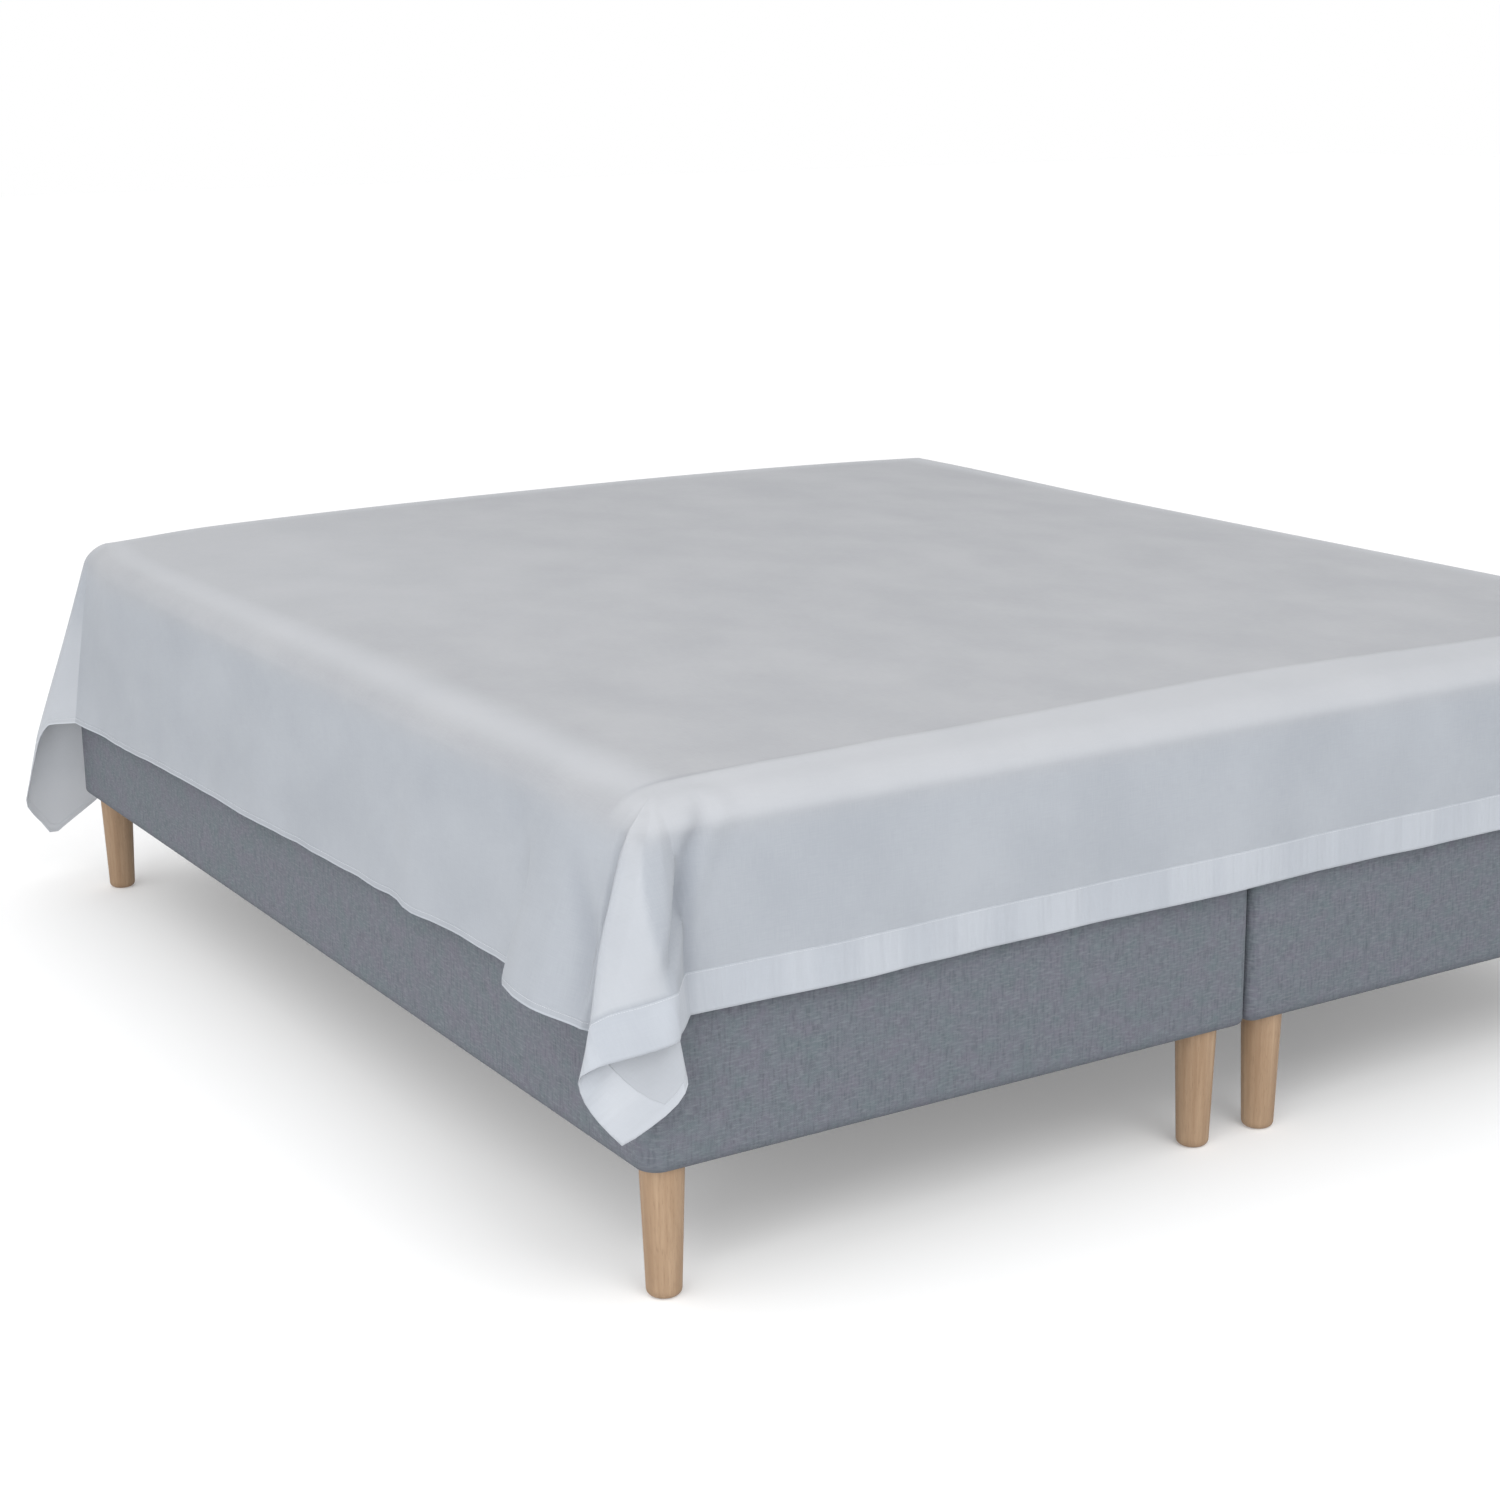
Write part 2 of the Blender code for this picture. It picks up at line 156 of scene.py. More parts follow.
FINE, COARSE = 0.0065, 0.027           # steps along the sheet's edges
FINE_ENDS, FINE_SIDES = 0.104, 0.117   # and how far from a corner the fine ones go
sheet_plan = ray_plan(
    [(-FLAT_X, -FLAT_Y), (FLAT_X, -FLAT_Y), (FLAT_X, FLAT_Y), (-FLAT_X, FLAT_Y)],
    [FALL_CORNER] * 4,
    graded(2 * FLAT_X, FINE, FINE_ENDS, COARSE), graded(2 * FLAT_Y, FINE, FINE_SIDES, COARSE),
    np.linspace(0, 90, 53))
print(len(sheet_plan.edge), "rays for the sheet")

# %% [markdown]
# ## From rays to a skin
#
# Rings of points run round the plan, one below the other, and neighbouring
# rings are joined by quads. At a corner the first ring is a single point, so
# the faces there are triangles and the pole is closed.

# %% Joining rings and grids
def ring_faces(upper, lower):
    """Faces between two rings of vertex numbers, facing outwards."""
    faces = []
    for i in range(len(upper)):
        j = (i + 1) % len(upper)
        corners = (upper[i], lower[i], lower[j], upper[j])
        face = tuple(dict.fromkeys(int(n) for n in corners))
        if len(face) > 2:
            faces.append(face)
    return faces


def grid_faces(shape, first, up=True):
    """Faces of a flat grid of vertices, facing up or down."""
    number = first + np.arange(shape[0] * shape[1]).reshape(shape)
    a, b, c, d = (part.ravel() for part in
                  (number[:-1, :-1], number[1:, :-1], number[1:, 1:], number[:-1, 1:]))
    order = (a, b, c, d) if up else (d, c, b, a)
    return [tuple(int(n) for n in face) for face in zip(*order)]


def show(name, data):
    """A new object in the scene that shows this mesh, light or camera."""
    made = bpy.data.objects.new(name, data)
    bpy.context.scene.collection.objects.link(made)
    return made


def add_piece(name, points, faces):
    """A new smooth piece from points and faces."""
    mesh = bpy.data.meshes.new(name)
    mesh.from_pydata([tuple(p) for p in points], [], faces)
    mesh.update()
    mesh.shade_smooth()
    return show(name, mesh)


def check_closed(piece):
    """Prints a piece's size and whether its skin is closed and faces out."""
    mesh = bmesh.new()
    mesh.from_mesh(piece.data)
    open_edges = sum(not edge.is_manifold for edge in mesh.edges)
    print(f"{piece.name}: {sum(len(f.verts) - 2 for f in mesh.faces)} triangles, "
          f"{open_edges} open edges, {mesh.calc_volume(signed=True) * 1000:.2f} litres")
    mesh.free()


print("a grid of 3 by 3 points has", len(grid_faces((3, 3), 0)), "faces")

# %% [markdown]
# ## Reading a fold table
#
# A fold is a row of crests and valleys. We only write those down and let a
# curve run between them. The curve has to be level at every crest and must
# not swing past it, or the cloth would show ripples that nobody laid in it.

# %% A curve through crests and valleys
def eased(places, values, at):
    """Reads values between their places, level at each crest and valley."""
    x, y, at = (np.asarray(part, float) for part in (places, values, at))
    steps = np.diff(x)
    rises = np.diff(y) / steps
    slopes = np.zeros(len(x))
    for i in range(1, len(x) - 1):
        if rises[i - 1] * rises[i] > 0:
            a, b = 2 * steps[i] + steps[i - 1], steps[i] + 2 * steps[i - 1]
            slopes[i] = (a + b) / (a / rises[i - 1] + b / rises[i])
    k = np.clip(np.searchsorted(x, at, side="right") - 1, 0, len(steps) - 1)
    t = (at - x[k]) / steps[k]
    return (y[k] * (1 + 2 * t) * (1 - t) ** 2 + slopes[k] * steps[k] * t * (1 - t) ** 2
            + y[k + 1] * t * t * (3 - 2 * t) + slopes[k + 1] * steps[k] * t * t * (t - 1))


def ramp(value, start, end):
    """Rises smoothly from 0 at start to 1 at end."""
    t = np.clip((np.asarray(value, float) - start) / (end - start), 0, 1)
    return t * t * (3 - 2 * t)


def soft_noise(points, size, seed):
    """Smooth noise from about -1 to 1, its bumps about this size in metres."""
    shift = Vector((seed * 7.31, seed * 3.17, seed * 5.73))
    return np.array([noise.noise(Vector(p) / size + shift) for p in points])


print("a fold table read half way:", eased([0, 1, 2], [0, 1, 0], 0.5))

# %% [markdown]
# ## The folds
#
# The hanging cloth isn't flat. At each corner the sheet has a square of cloth
# too much, and it gathers into an ear: a big fold that stands out, with the
# sheet's own corner hanging lowest. Each row below is one ray. It says how far
# the ray moves away from the bed's side and its end for each metre it falls.
# A drape simulation could find folds too, but it would find other ones. Laid
# folds are repeatable, and each of them can be set on its own.

# %% Fold tables
# at: degrees from the side (0) to the end (90); swings away from side and end
FOOT_FAN = ((0, 0.242, 0.023), (15, 0.089, 0.086), (30, -0.062, 0.128),
            (33.3, -0.100, 0.165), (36, -0.080, 0.159), (44.7, 0.154, 0.128),
            (54, 0.331, 0.080), (56.5, 0.353, 0.088), (59, 0.341, 0.126),
            (73, 0.082, 0.241), (78, 0.028, 0.195), (90, -0.086, 0.036))
HEAD_FAN = ((0, 0.072, -0.113), (15, 0.179, 0.026), (45, 0.212, 0.084),
            (51.7, 0.108, 0.125), (66, -0.079, 0.098), (78, -0.040, 0.050),
            (90, -0.059, 0.033))
# at: metres from the middle; swings away from the face and along it
LEFT_SIDE = ((-0.885, 0.324, -0.030), (-0.835, 0.283, 0.080), (-0.790, 0.104, 0.161),
             (-0.700, 0.061, 0.085), (-0.560, 0.042, 0.010), (-0.430, 0.080, 0.015),
             (-0.370, 0.042, 0.010), (-0.100, 0.033, 0.0), (0.150, 0.047, 0.0),
             (0.350, 0.033, 0.0), (0.600, 0.052, 0.0), (0.800, 0.038, 0.0))
RIGHT_SIDE = ((-0.880, 0.293, -0.020), (-0.820, 0.246, 0.075), (-0.765, 0.095, 0.140),
              (-0.650, 0.057, 0.055), (-0.500, 0.038, 0.0), (-0.300, 0.057, 0.0),
              (-0.050, 0.033, 0.0), (0.220, 0.052, 0.0), (0.480, 0.033, 0.0),
              (0.700, 0.057, 0.0), (0.840, 0.038, 0.0))
FOOT_END = ((-0.760, 0.040, 0.0), (-0.640, 0.055, 0.0), (-0.450, 0.040, 0.0),
            (-0.100, 0.050, 0.0), (0.200, 0.040, 0.0), (0.520, 0.055, 0.0),
            (0.740, 0.040, 0.0))
HEAD_END = ((-0.700, 0.040, 0.0), (-0.480, 0.070, 0.0), (-0.250, 0.035, 0.0),
            (0.050, 0.065, 0.0), (0.300, 0.040, 0.0), (0.560, 0.070, 0.0),
            (0.720, 0.040, 0.0))
print("the big fold leans out", max(side for _, side, _ in FOOT_FAN), "m per metre")

# %% Swings of all the rays
def degrees_from_side(out):
    """Which way rays go: 0 straight off a side, 90 straight off an end."""
    return np.degrees(np.arctan2(np.abs(out[:, 1]), np.abs(out[:, 0])))


def fan_swing(table, turn, side, end):
    """Swing at angles round a corner, in X and Y."""
    at, away_side, away_end = zip(*table)
    return np.stack([side * eased(at, away_side, turn), end * eased(at, away_end, turn)], 1)


def face_swing(table, at, half, first, last, away, along):
    """Swing along a face, from one corner's outer ray to the next one's."""
    rows = ((-half, *first), *table, (half, *last))
    place, outward, sideways = zip(*rows)
    return (np.outer(eased(place, outward, at), away)
            + np.outer(eased(place, sideways, at), along))


def all_swings(plan):
    """Swing of every ray of the sheet's plan."""
    swing = np.zeros_like(plan.start)
    x, y = plan.start.T
    # a face begins and ends with the outer ray of the fans beside it
    _, side, end = FOOT_FAN[0]
    at_foot = (side, -end)
    _, side, end = HEAD_FAN[0]
    at_head = (side, end)
    _, foot_side, foot_end = FOOT_FAN[-1]
    _, head_side, head_end = HEAD_FAN[-1]
    faces = (
        (0, FOOT_END, x, FLAT_X, (foot_end, -foot_side), (foot_end, foot_side), (0, -1), (1, 0)),
        (1, RIGHT_SIDE, y, FLAT_Y, at_foot, at_head, (1, 0), (0, 1)),
        (2, HEAD_END, x, FLAT_X, (head_end, -head_side), (head_end, head_side), (0, 1), (1, 0)),
        (3, LEFT_SIDE, y, FLAT_Y, at_foot, at_head, (-1, 0), (0, 1)))
    for face, table, at, half, first, last, away, along in faces:
        on = plan.face == face
        swing[on] = face_swing(table, at[on], half, first, last, away, along)
    corners = ((0.5, FOOT_FAN, 1, -1), (1.5, HEAD_FAN, 1, 1),
               (2.5, HEAD_FAN, -1, 1), (3.5, FOOT_FAN, -1, -1))
    for face, table, side, end in corners:
        on = plan.face == face
        swing[on] = fan_swing(table, degrees_from_side(plan.out[on]), side, end)
    return swing


swings = all_swings(sheet_plan)
print("steepest ray leans", round(float(np.hypot(*swings.T).max()), 3), "m per metre")

# %% [markdown]
# ## How much cloth each ray has
#
# Woven cloth hardly stretches, so a ray is as long as the flat sheet is
# between the bed's edge and the hem. The sheet was laid a little towards the
# head end and slightly out of true, which is why the hems don't run level.

# %% Cloth between the bed's edge and the hem
SIDE_HEM = 0.010         # narrow hems down both sides and across the head end
FOOT_HEM = 0.050         # the wide, doubled hem across the foot end


def reach_to_hem(plan, side_inset=0.0, foot_inset=0.0):
    """Length of each ray to the hem, or to a line this far inside it."""
    (x, y), (dx, dy) = plan.start.T, plan.out.T
    side, end = np.sign(np.round(dx, 9)), np.sign(np.round(dy, 9))
    half = FLAT_WIDTH / 2 - side_inset
    inset = np.where(end < 0, foot_inset, side_inset)
    hem = end * (FLAT_LENGTH / 2 - inset) + SHIFT_TO_HEAD
    with np.errstate(divide="ignore", invalid="ignore"):
        to_side = (side * half - SKEW_SIDE * y - x) / (dx + SKEW_SIDE * dy)
        to_end = (hem + SKEW_END * x - y) / (dy - SKEW_END * dx)
    to_side[side == 0], to_end[end == 0] = np.inf, np.inf
    return np.minimum(to_side, to_end)


# a corner hangs on the bias of the cloth, where it stretches a little
BIAS, NEAR_BIAS = 44.0, (2, 17)        # degrees from the side, and either side of that
BIAS_STRETCH = 0.012

stretch = BIAS_STRETCH * (1 - ramp(np.abs(degrees_from_side(sheet_plan.out) - BIAS), *NEAR_BIAS))
reach = reach_to_hem(sheet_plan) + stretch
inner = reach_to_hem(sheet_plan, SIDE_HEM, FOOT_HEM) + stretch
print(f"rays are {reach.min():.3f} to {reach.max():.3f} m long")

# %% [markdown]
# ## Rows down the rays
#
# Rows lie close together on the shoulder, where the cloth bends, and again at
# the hem, where it is doubled. The last rows follow the hem itself, so that
# the hem is a strip of its own faces and can have its own finish.

# %% Cloth used up at each row
SHOULDER_ROWS = 10
HANG_ROWS = 30
ABOVE_HEM = 0.001                     # the last row above it
HEM_ROWS = (0.0, 0.0006, 0.0020)      # fold of the hem, its full thickness, stitches
HEM_SHARES = (0.2, 0.45, 0.7, 0.93, 1.0)


def row_lengths():
    """(rows, rays) of cloth used up, from the shoulder's start to the hem."""
    shoulder = [np.full(len(reach), LEVEL + (PLUMB - LEVEL) * k / SHOULDER_ROWS)
                for k in range(1, SHOULDER_ROWS + 1)]
    hang = [PLUMB + (inner - ABOVE_HEM - PLUMB) * k / HANG_ROWS
            for k in range(1, HANG_ROWS + 1)]
    hem = [inner + step for step in HEM_ROWS]
    hem += [hem[-1] + (reach - hem[-1]) * share for share in HEM_SHARES]
    return np.array(shoulder + hang + hem)


used = row_lengths()
STITCH_ROW = SHOULDER_ROWS + HANG_ROWS + len(HEM_ROWS) - 1
print(used.shape[0], "rows on", used.shape[1], "rays")


# %% [markdown]
# ## Over the shoulder and down
#
# Every ray goes the same way: level to the shoulder, a quarter of a circle
# round it, and down. What a ray swings sideways it doesn't fall, so its
# length stays right. The big fold at a foot corner stands out from the very
# top. A swing for each metre of fall can't do that, so it gets a flare.

# %% The flare of the big folds
FLARE_AT = 56.5                        # degrees from the side to the end
FLARE_SIDEWARD, FLARE_ENDWARD = 13.0, 5.0
FLARE_SIDE, FLARE_END = 0.021, 0.004   # metres away from the side and the end
FLARE_IN, FLARE_OUT = (0.0, 0.04), (0.15, 0.33)    # where it comes and goes, down the ray


def flare(plan, used):
    """How far the cloth stands out high up on the big fold."""
    turn = degrees_from_side(plan.out)
    width = np.where(turn < FLARE_AT, FLARE_SIDEWARD, FLARE_ENDWARD)
    bell = (1 - ramp(np.abs(turn - FLARE_AT) / width, 0, 1)) * (plan.start[:, 1] < 0)
    down = ramp(used, *FLARE_IN) * (1 - ramp(used, *FLARE_OUT))
    away = np.sign(plan.out) * (FLARE_SIDE, FLARE_END)
    return away * (bell * down)[..., None]


print("the big folds stand out", FLARE_SIDE * 1000, "mm at the top")

# %% Where the cloth goes
def drape(plan, used, swing):
    """Points of the cloth on every ray after a length of cloth is used up."""
    turn = np.clip((used - LEVEL) / FALL_RADIUS, 0, pi / 2)
    out = np.where(used > LEVEL, LEVEL + FALL_RADIUS * np.sin(turn), used)
    drop = FALL_RADIUS * (1 - np.cos(turn)) + np.maximum(used - PLUMB, 0)
    swinging = np.maximum(used - SWING_START, 0)
    swung = np.sqrt(swinging ** 2 + SWING_EASE ** 2) - SWING_EASE
    drop -= swung * (1 - np.sqrt(1 - np.hypot(*swing.T) ** 2))
    flat = plan.start + plan.out * out[..., None] + swing * swung[..., None]
    flat += flare(plan, used)
    return np.concatenate([flat, (CLOTH_Z - drop)[..., None]], axis=-1)


hanging = drape(sheet_plan, used, swings)
print("lowest point of the cloth", round(float(hanging[..., 2].min()), 3), "m")

# %% [markdown]
# ## Weight and settling
#
# A topper is soft, so its middle stands a little higher than its edges and a
# worn corner sinks. Whatever moves the topper moves the sheet on it as well,
# so both go through the same function and never cut into each other.

# %% Shaping that the topper and the sheet share
CROWN, CROWN_SHAPE = 0.014, 2.4        # how much the middle rises, and how evenly
CROWN_FROM = 0.2                       # it is full from here to the head end
EDGE_SINK = 0.014                      # how far the topper gives at its very edge
EDGE_REACH, EDGE_SHAPE = 0.120, 2.5    # and from where it begins to
FIRM_FROM, FIRM_TO = 0.3, 0.9          # it is firmer towards the head end,
FIRMER = 0.75                          # by this share
CORNER_SINK = 0.001
WORN_REACH = (0.02, 0.30)              # metres from the far left corner
CORNER_LEAN = 0.100                    # which leans in by this much for each metre
LEAN_FROM = 0.270                      # above this height,
LEAN_REACH = (0.02, 0.26)              # this near to it,
TO_FOOT = 0.5                          # half as much towards the foot end,
STIFF_FROM = (0.34, 0.48)              # and the stiff bases only above here


def settle(points, stiff=False):
    """Crowns the middle, rounds the edges and leans the far left corner in.

    stiff: for the bases, which only lean where the sheet hides them.
    """
    moved = np.array(points, float)
    x, y, z = moved.T
    held = ramp(z, *STIFF_FROM) if stiff else 1.0
    share = ramp(z, TOPPER_Z, TOPPER_TOP)
    crown = (1 - np.clip(np.abs(x) / FLAT_X, 0, 1) ** CROWN_SHAPE) * ramp(y, -FLAT_Y, CROWN_FROM)
    inside = np.minimum(BED_WIDTH / 2 + STAND_OFF - np.abs(x),
                        BED_LENGTH / 2 + STAND_OFF - np.abs(y))
    edge = np.clip(1 - inside / EDGE_REACH, 0, 1) ** EDGE_SHAPE
    edge = edge * (1 - FIRMER * ramp(y, FIRM_FROM, FIRM_TO))
    away = np.hypot(x + BED_WIDTH / 2, y - BED_LENGTH / 2)
    worn = 1 - ramp(away, *WORN_REACH)
    moved[:, 2] += share * (CROWN * crown - EDGE_SINK * edge - CORNER_SINK * worn)
    pull = CORNER_LEAN * (1 - ramp(away, *LEAN_REACH)) * np.clip(z - LEAN_FROM, 0, None) * held
    moved[:, 0] += pull
    moved[:, 1] -= TO_FOOT * pull
    return moved


print("the middle rises by", CROWN * 1000, "mm")

# %% [markdown]
# ## Slack, hems and a crease
#
# Folds from a table alone look like bent metal. Free cloth also hangs in
# soft upright waves, and a narrow hem wanders, because its thread draws it in
# unevenly. Smooth noise makes both. It pushes mostly outwards, and inwards by
# less than the cloth stands off, so that nothing goes into the bed. One crease
# runs across the foot end of the top, where the sheet was folded in the
# cupboard.

# %% Slack on the sheet alone
SLACK = 0.0070                         # soft waves of the hanging cloth
WAVE, SMALL_WAVE = 0.13, 0.055         # their sizes,
SMALL_SHARE = 0.5                      # how strong the small ones are,
SLANT, STRETCH = 0.25, 0.22            # how they lean, and change on the way down
OUTWARDS, WAVE_SHARE = 0.30, 0.55      # they push more outwards than inwards
WAVES_DOWN = (0.03, 0.16)              # and come in over this much cloth
HEM_WAVE = 0.0075                      # how much a narrow hem wanders,
WANDER = 0.085                         # and over what length
IN_AND_OUT, UP_AND_DOWN = 0.6, 0.8     # shares of that each way,
RAISED = 0.5                           # and of how much it is drawn up all along
HEM_DOWN = (0.17, 0.27)                # it wanders in and out below here,
LIFT_DOWN = (0.15, 0.27)               # and up and down below here,
LIFT_ALONG = (0.55, 0.72)              # but only this far from the bed's middle
SIDE_WAVES, END_WAVES = 0.80, 0.74     # all of it ends about here, before the corners,
FADE = (-0.12, 0.08)                   # and fades from before there to past it


def slack(points, flat):
    """Soft upright waves on the hanging cloth, and hems that wander a little."""
    moved = np.array(points, float)
    for axis, other, edge, length in ((0, 1, BED_WIDTH / 2, SIDE_WAVES),
                                      (1, 0, BED_LENGTH / 2, END_WAVES)):
        past = np.abs(flat[:, axis]) - edge
        on = (past > 0) & (np.abs(flat[:, other]) < length + FADE[1])
        down, at = past[on], flat[on, other]
        side = np.sign(flat[on, axis])
        away = 1 - ramp(np.abs(at), length + FADE[0], length + FADE[1])
        lean = np.column_stack([at + SLANT * down, STRETCH * down, side])
        small = SMALL_SHARE * soft_noise(lean, SMALL_WAVE, 8 + axis)
        waves = soft_noise(lean, WAVE, 5 + axis) + small
        wander = soft_noise(np.column_stack([at, side, side]), WANDER, 12 + axis)
        push = SLACK * (OUTWARDS + WAVE_SHARE * waves) * ramp(down, *WAVES_DOWN)
        push += HEM_WAVE * IN_AND_OUT * wander * ramp(down, *HEM_DOWN)
        moved[on, axis] += side * away * push
        if axis == 0:
            along = 1 - ramp(np.abs(at), *LIFT_ALONG)
            lift = UP_AND_DOWN * wander + RAISED
            moved[on, 2] += along * HEM_WAVE * lift * ramp(down, *LIFT_DOWN)
    return moved


print("waves of about", SLACK * 1000, "mm on the hanging cloth")

# %% The crease across the foot end
# at: metres from the middle; inset from the foot end; how high it stands
FOOT_CREASE = ((-0.8675, 0.060, 0.0), (-0.780, 0.062, 0.0036), (-0.600, 0.068, 0.0040),
               (-0.360, 0.076, 0.0030), (0.060, 0.096, 0.0018), (0.490, 0.070, 0.0030),
               (0.8675, 0.060, 0.0))
CREASE_BACK, CREASE_FRONT = 0.0065, 0.022    # it is steep towards the head end


def crease(points, flat):
    """Lifts the crease that runs across the foot end of the top."""
    moved = np.array(points, float)
    at, inset, lift = zip(*FOOT_CREASE)
    x = np.clip(flat[:, 0], at[0], at[-1])
    line = eased(at, inset, x) - BED_LENGTH / 2
    reach = np.where(flat[:, 1] > line, CREASE_BACK, CREASE_FRONT)
    near = np.clip(1 - np.abs(flat[:, 1] - line) / reach, 0, 1)
    moved[:, 2] += eased(at, lift, x) * near * near * (3 - 2 * near)
    return moved


print("the crease stands", max(lift for _, _, lift in FOOT_CREASE) * 1000, "mm high")

# %% [markdown]
# ## Folds on the ear and beside it
#
# Some folds don't follow the rays. We draw these as lines on the flat cloth,
# as a tailor chalks them on a pattern, and push the cloth in or out near each
# line. A line on the flat cloth stays on its threads however the cloth hangs.

# %% Folds on the ear and beside it
# flat place of each fold from the shoulder down, and how far it stands out there
EAR_VALLEY = ((0.815, 1.000, -0.0020), (0.841, 1.046, -0.0040), (0.857, 1.074, -0.0050),
              (0.889, 1.123, -0.0085), (0.930, 1.168, -0.0065), (0.958, 1.205, 0.0))
EAR_RIDGE = ((0.884, 0.990, 0.0), (0.902, 1.029, 0.0015), (0.924, 1.094, 0.0060),
             (0.936, 1.169, 0.0070), (0.950, 1.230, 0.0050), (0.962, 1.290, 0.0))
FLAP_CREST = ((0.935, 0.797, 0.0), (0.990, 0.797, 0.0045), (1.049, 0.820, 0.0065),
              (1.140, 0.824, 0.0065))
FLAP_VALLEY = ((0.960, 0.890, 0.0), (1.018, 0.929, -0.0040), (1.062, 0.961, -0.0050),
               (1.120, 0.961, -0.0030))
FLAP_BACK = ((0.942, 0.690, 0.0), (0.962, 0.735, -0.0050), (1.000, 0.762, -0.0065),
             (1.050, 0.780, -0.0065), (1.120, 0.786, -0.0040))
VALLEY_REACH, RIDGE_REACH, FLAP_REACH = 0.019, 0.026, 0.030
BANK = 0.0036            # the cloth beside the valley stands up by this much
BANK_REACH = 2.6         # and this many times as far from it


def near_line(flat, line, reach, bank=0.0):
    """How far a fold along this line lifts each point; its banks rise beside it."""
    place, lift = np.array(line)[:, :2], np.array(line)[:, 2]
    best, value = np.full(len(flat), np.inf), np.zeros(len(flat))
    for k in range(len(place) - 1):
        step = place[k + 1] - place[k]
        share = np.clip((flat - place[k]) @ step / (step @ step), 0, 1)
        apart = np.linalg.norm(flat - place[k] - share[:, None] * step, axis=1)
        closer = apart < best
        best[closer] = apart[closer]
        value[closer] = (lift[k] + (lift[k + 1] - lift[k]) * share)[closer]
    banks = bank * ramp(best, 0, reach) * (1 - ramp(best, reach, BANK_REACH * reach))
    return value * (1 - ramp(best, 0, reach)) + banks


def ear_folds(points, flat, normals):
    """The folds on both ears at the foot end, and on the cloth beside them."""
    mirrored = np.abs(flat)
    lift = (near_line(mirrored, EAR_VALLEY, VALLEY_REACH, BANK)
            + near_line(mirrored, EAR_RIDGE, RIDGE_REACH))
    for line in (FLAP_CREST, FLAP_VALLEY, FLAP_BACK):
        lift += near_line(mirrored, line, FLAP_REACH)
    return points + normals * (lift * (flat[:, 1] < 0))[:, None]


flat_rows = sheet_plan.start + sheet_plan.out * used[..., None]
print("cloth laid flat spans", np.round(np.ptp(flat_rows.reshape(-1, 2), axis=0), 3))

# %% [markdown]
# ## The sheet as one closed shell
#
# The cloth so far is a surface without thickness. A real sheet is about a
# quarter of a millimetre thick, with three layers at a hem. Ours is twice as
# thick, which keeps its two sides clear of each other on all but the sharpest
# folds. A Solidify modifier would give one thickness everywhere, so we push
# the points out along their normals ourselves, further at the hem, and close
# the rim.

# %% Normals of the cloth
def point_normals(points, faces):
    """Average normal at each point."""
    normals = np.zeros_like(points)
    for count in (3, 4):
        chosen = np.array([f for f in faces if len(f) == count], int).reshape(-1, count)
        across = points[chosen[:, 2]] - points[chosen[:, 0]]
        other = points[chosen[:, -1]] - points[chosen[:, 1]]
        normal = np.cross(across, other if count == 4 else -other)
        if count == 3:
            normal = np.cross(points[chosen[:, 1]] - points[chosen[:, 0]], across)
        for corner in range(count):
            np.add.at(normals, chosen[:, corner], normal)
    return normals / np.linalg.norm(normals, axis=1)[:, None]


print("a level square's normal:", point_normals(
    np.array([(0, 0, 0), (1, 0, 0), (1, 1, 0), (0, 1, 0.0)]), [(0, 1, 2, 3)])[0])

# %% The surface of the cloth
grid = sheet_plan.grid
top_flat = grid.reshape(-1, 2)
top = np.column_stack([top_flat, np.full(len(top_flat), CLOTH_Z)])
flat = np.concatenate([top_flat, flat_rows.reshape(-1, 2)])
middle = np.concatenate([top, hanging.reshape(-1, 3)])
middle = crease(slack(middle, flat), flat)

rays = len(sheet_plan.edge)
rings = [sheet_plan.edge] + [len(top) + k * rays + np.arange(rays) for k in range(len(used))]
faces = grid_faces(grid.shape[:2], 0)
single_faces = len(faces)
for k, (upper, lower) in enumerate(zip(rings, rings[1:])):
    if k == SHOULDER_ROWS + HANG_ROWS + 1:
        single_faces = len(faces)
    faces += ring_faces(upper, lower)
middle = settle(ear_folds(middle, flat, point_normals(middle, faces)))
normals = point_normals(middle, faces)
print(len(middle), "points and", len(faces), "faces in the cloth's middle")

# %% Both sides and the rim
SINGLE = 0.0005          # thickness of the cloth,
DOUBLED = 0.0014         # of a hem,
STITCH_SINK = 0.00025    # and how far the thread pulls the hem in
half = np.full(len(middle), SINGLE / 2)
half[rings[STITCH_ROW][0]:] = DOUBLED / 2
half[rings[STITCH_ROW + 1]] -= STITCH_SINK
outer = middle + normals * half[:, None]
under = middle - normals * half[:, None]
count = len(middle)
shell = faces + [tuple(n + count for n in face[::-1]) for face in faces]
shell += ring_faces(rings[-1], rings[-1] + count)
sheet = add_piece("flat_sheet", np.concatenate([outer, under]), shell)
check_closed(sheet)

# %% Which faces are hem
FOOT_HEM_LINE = SHIFT_TO_HEAD - FLAT_LENGTH / 2 + FOOT_HEM
PAST_HEM = 0.004         # a face that lies wholly further up isn't wide hem
hem_share = np.zeros(len(shell), int)
hem_share[single_faces:len(faces)] = 1
hem_share[len(faces) + single_faces:len(faces) * 2] = 1
# the narrow hems are rolled so small that only their very edge looks doubled
rolled_from = rings[STITCH_ROW + 4][0]
for k, face in enumerate(faces):
    narrow = flat[list(face), 1].min() > FOOT_HEM_LINE + PAST_HEM
    if hem_share[k] and narrow and min(face) < rolled_from:
        hem_share[k] = hem_share[k + len(faces)] = 0
print(hem_share.sum(), "faces of the sheet are hem")

# %% [markdown]
# The sheet's UV map is the flat cloth itself, in metres. The weave then
# follows the threads over every fold, as it does on real cloth.

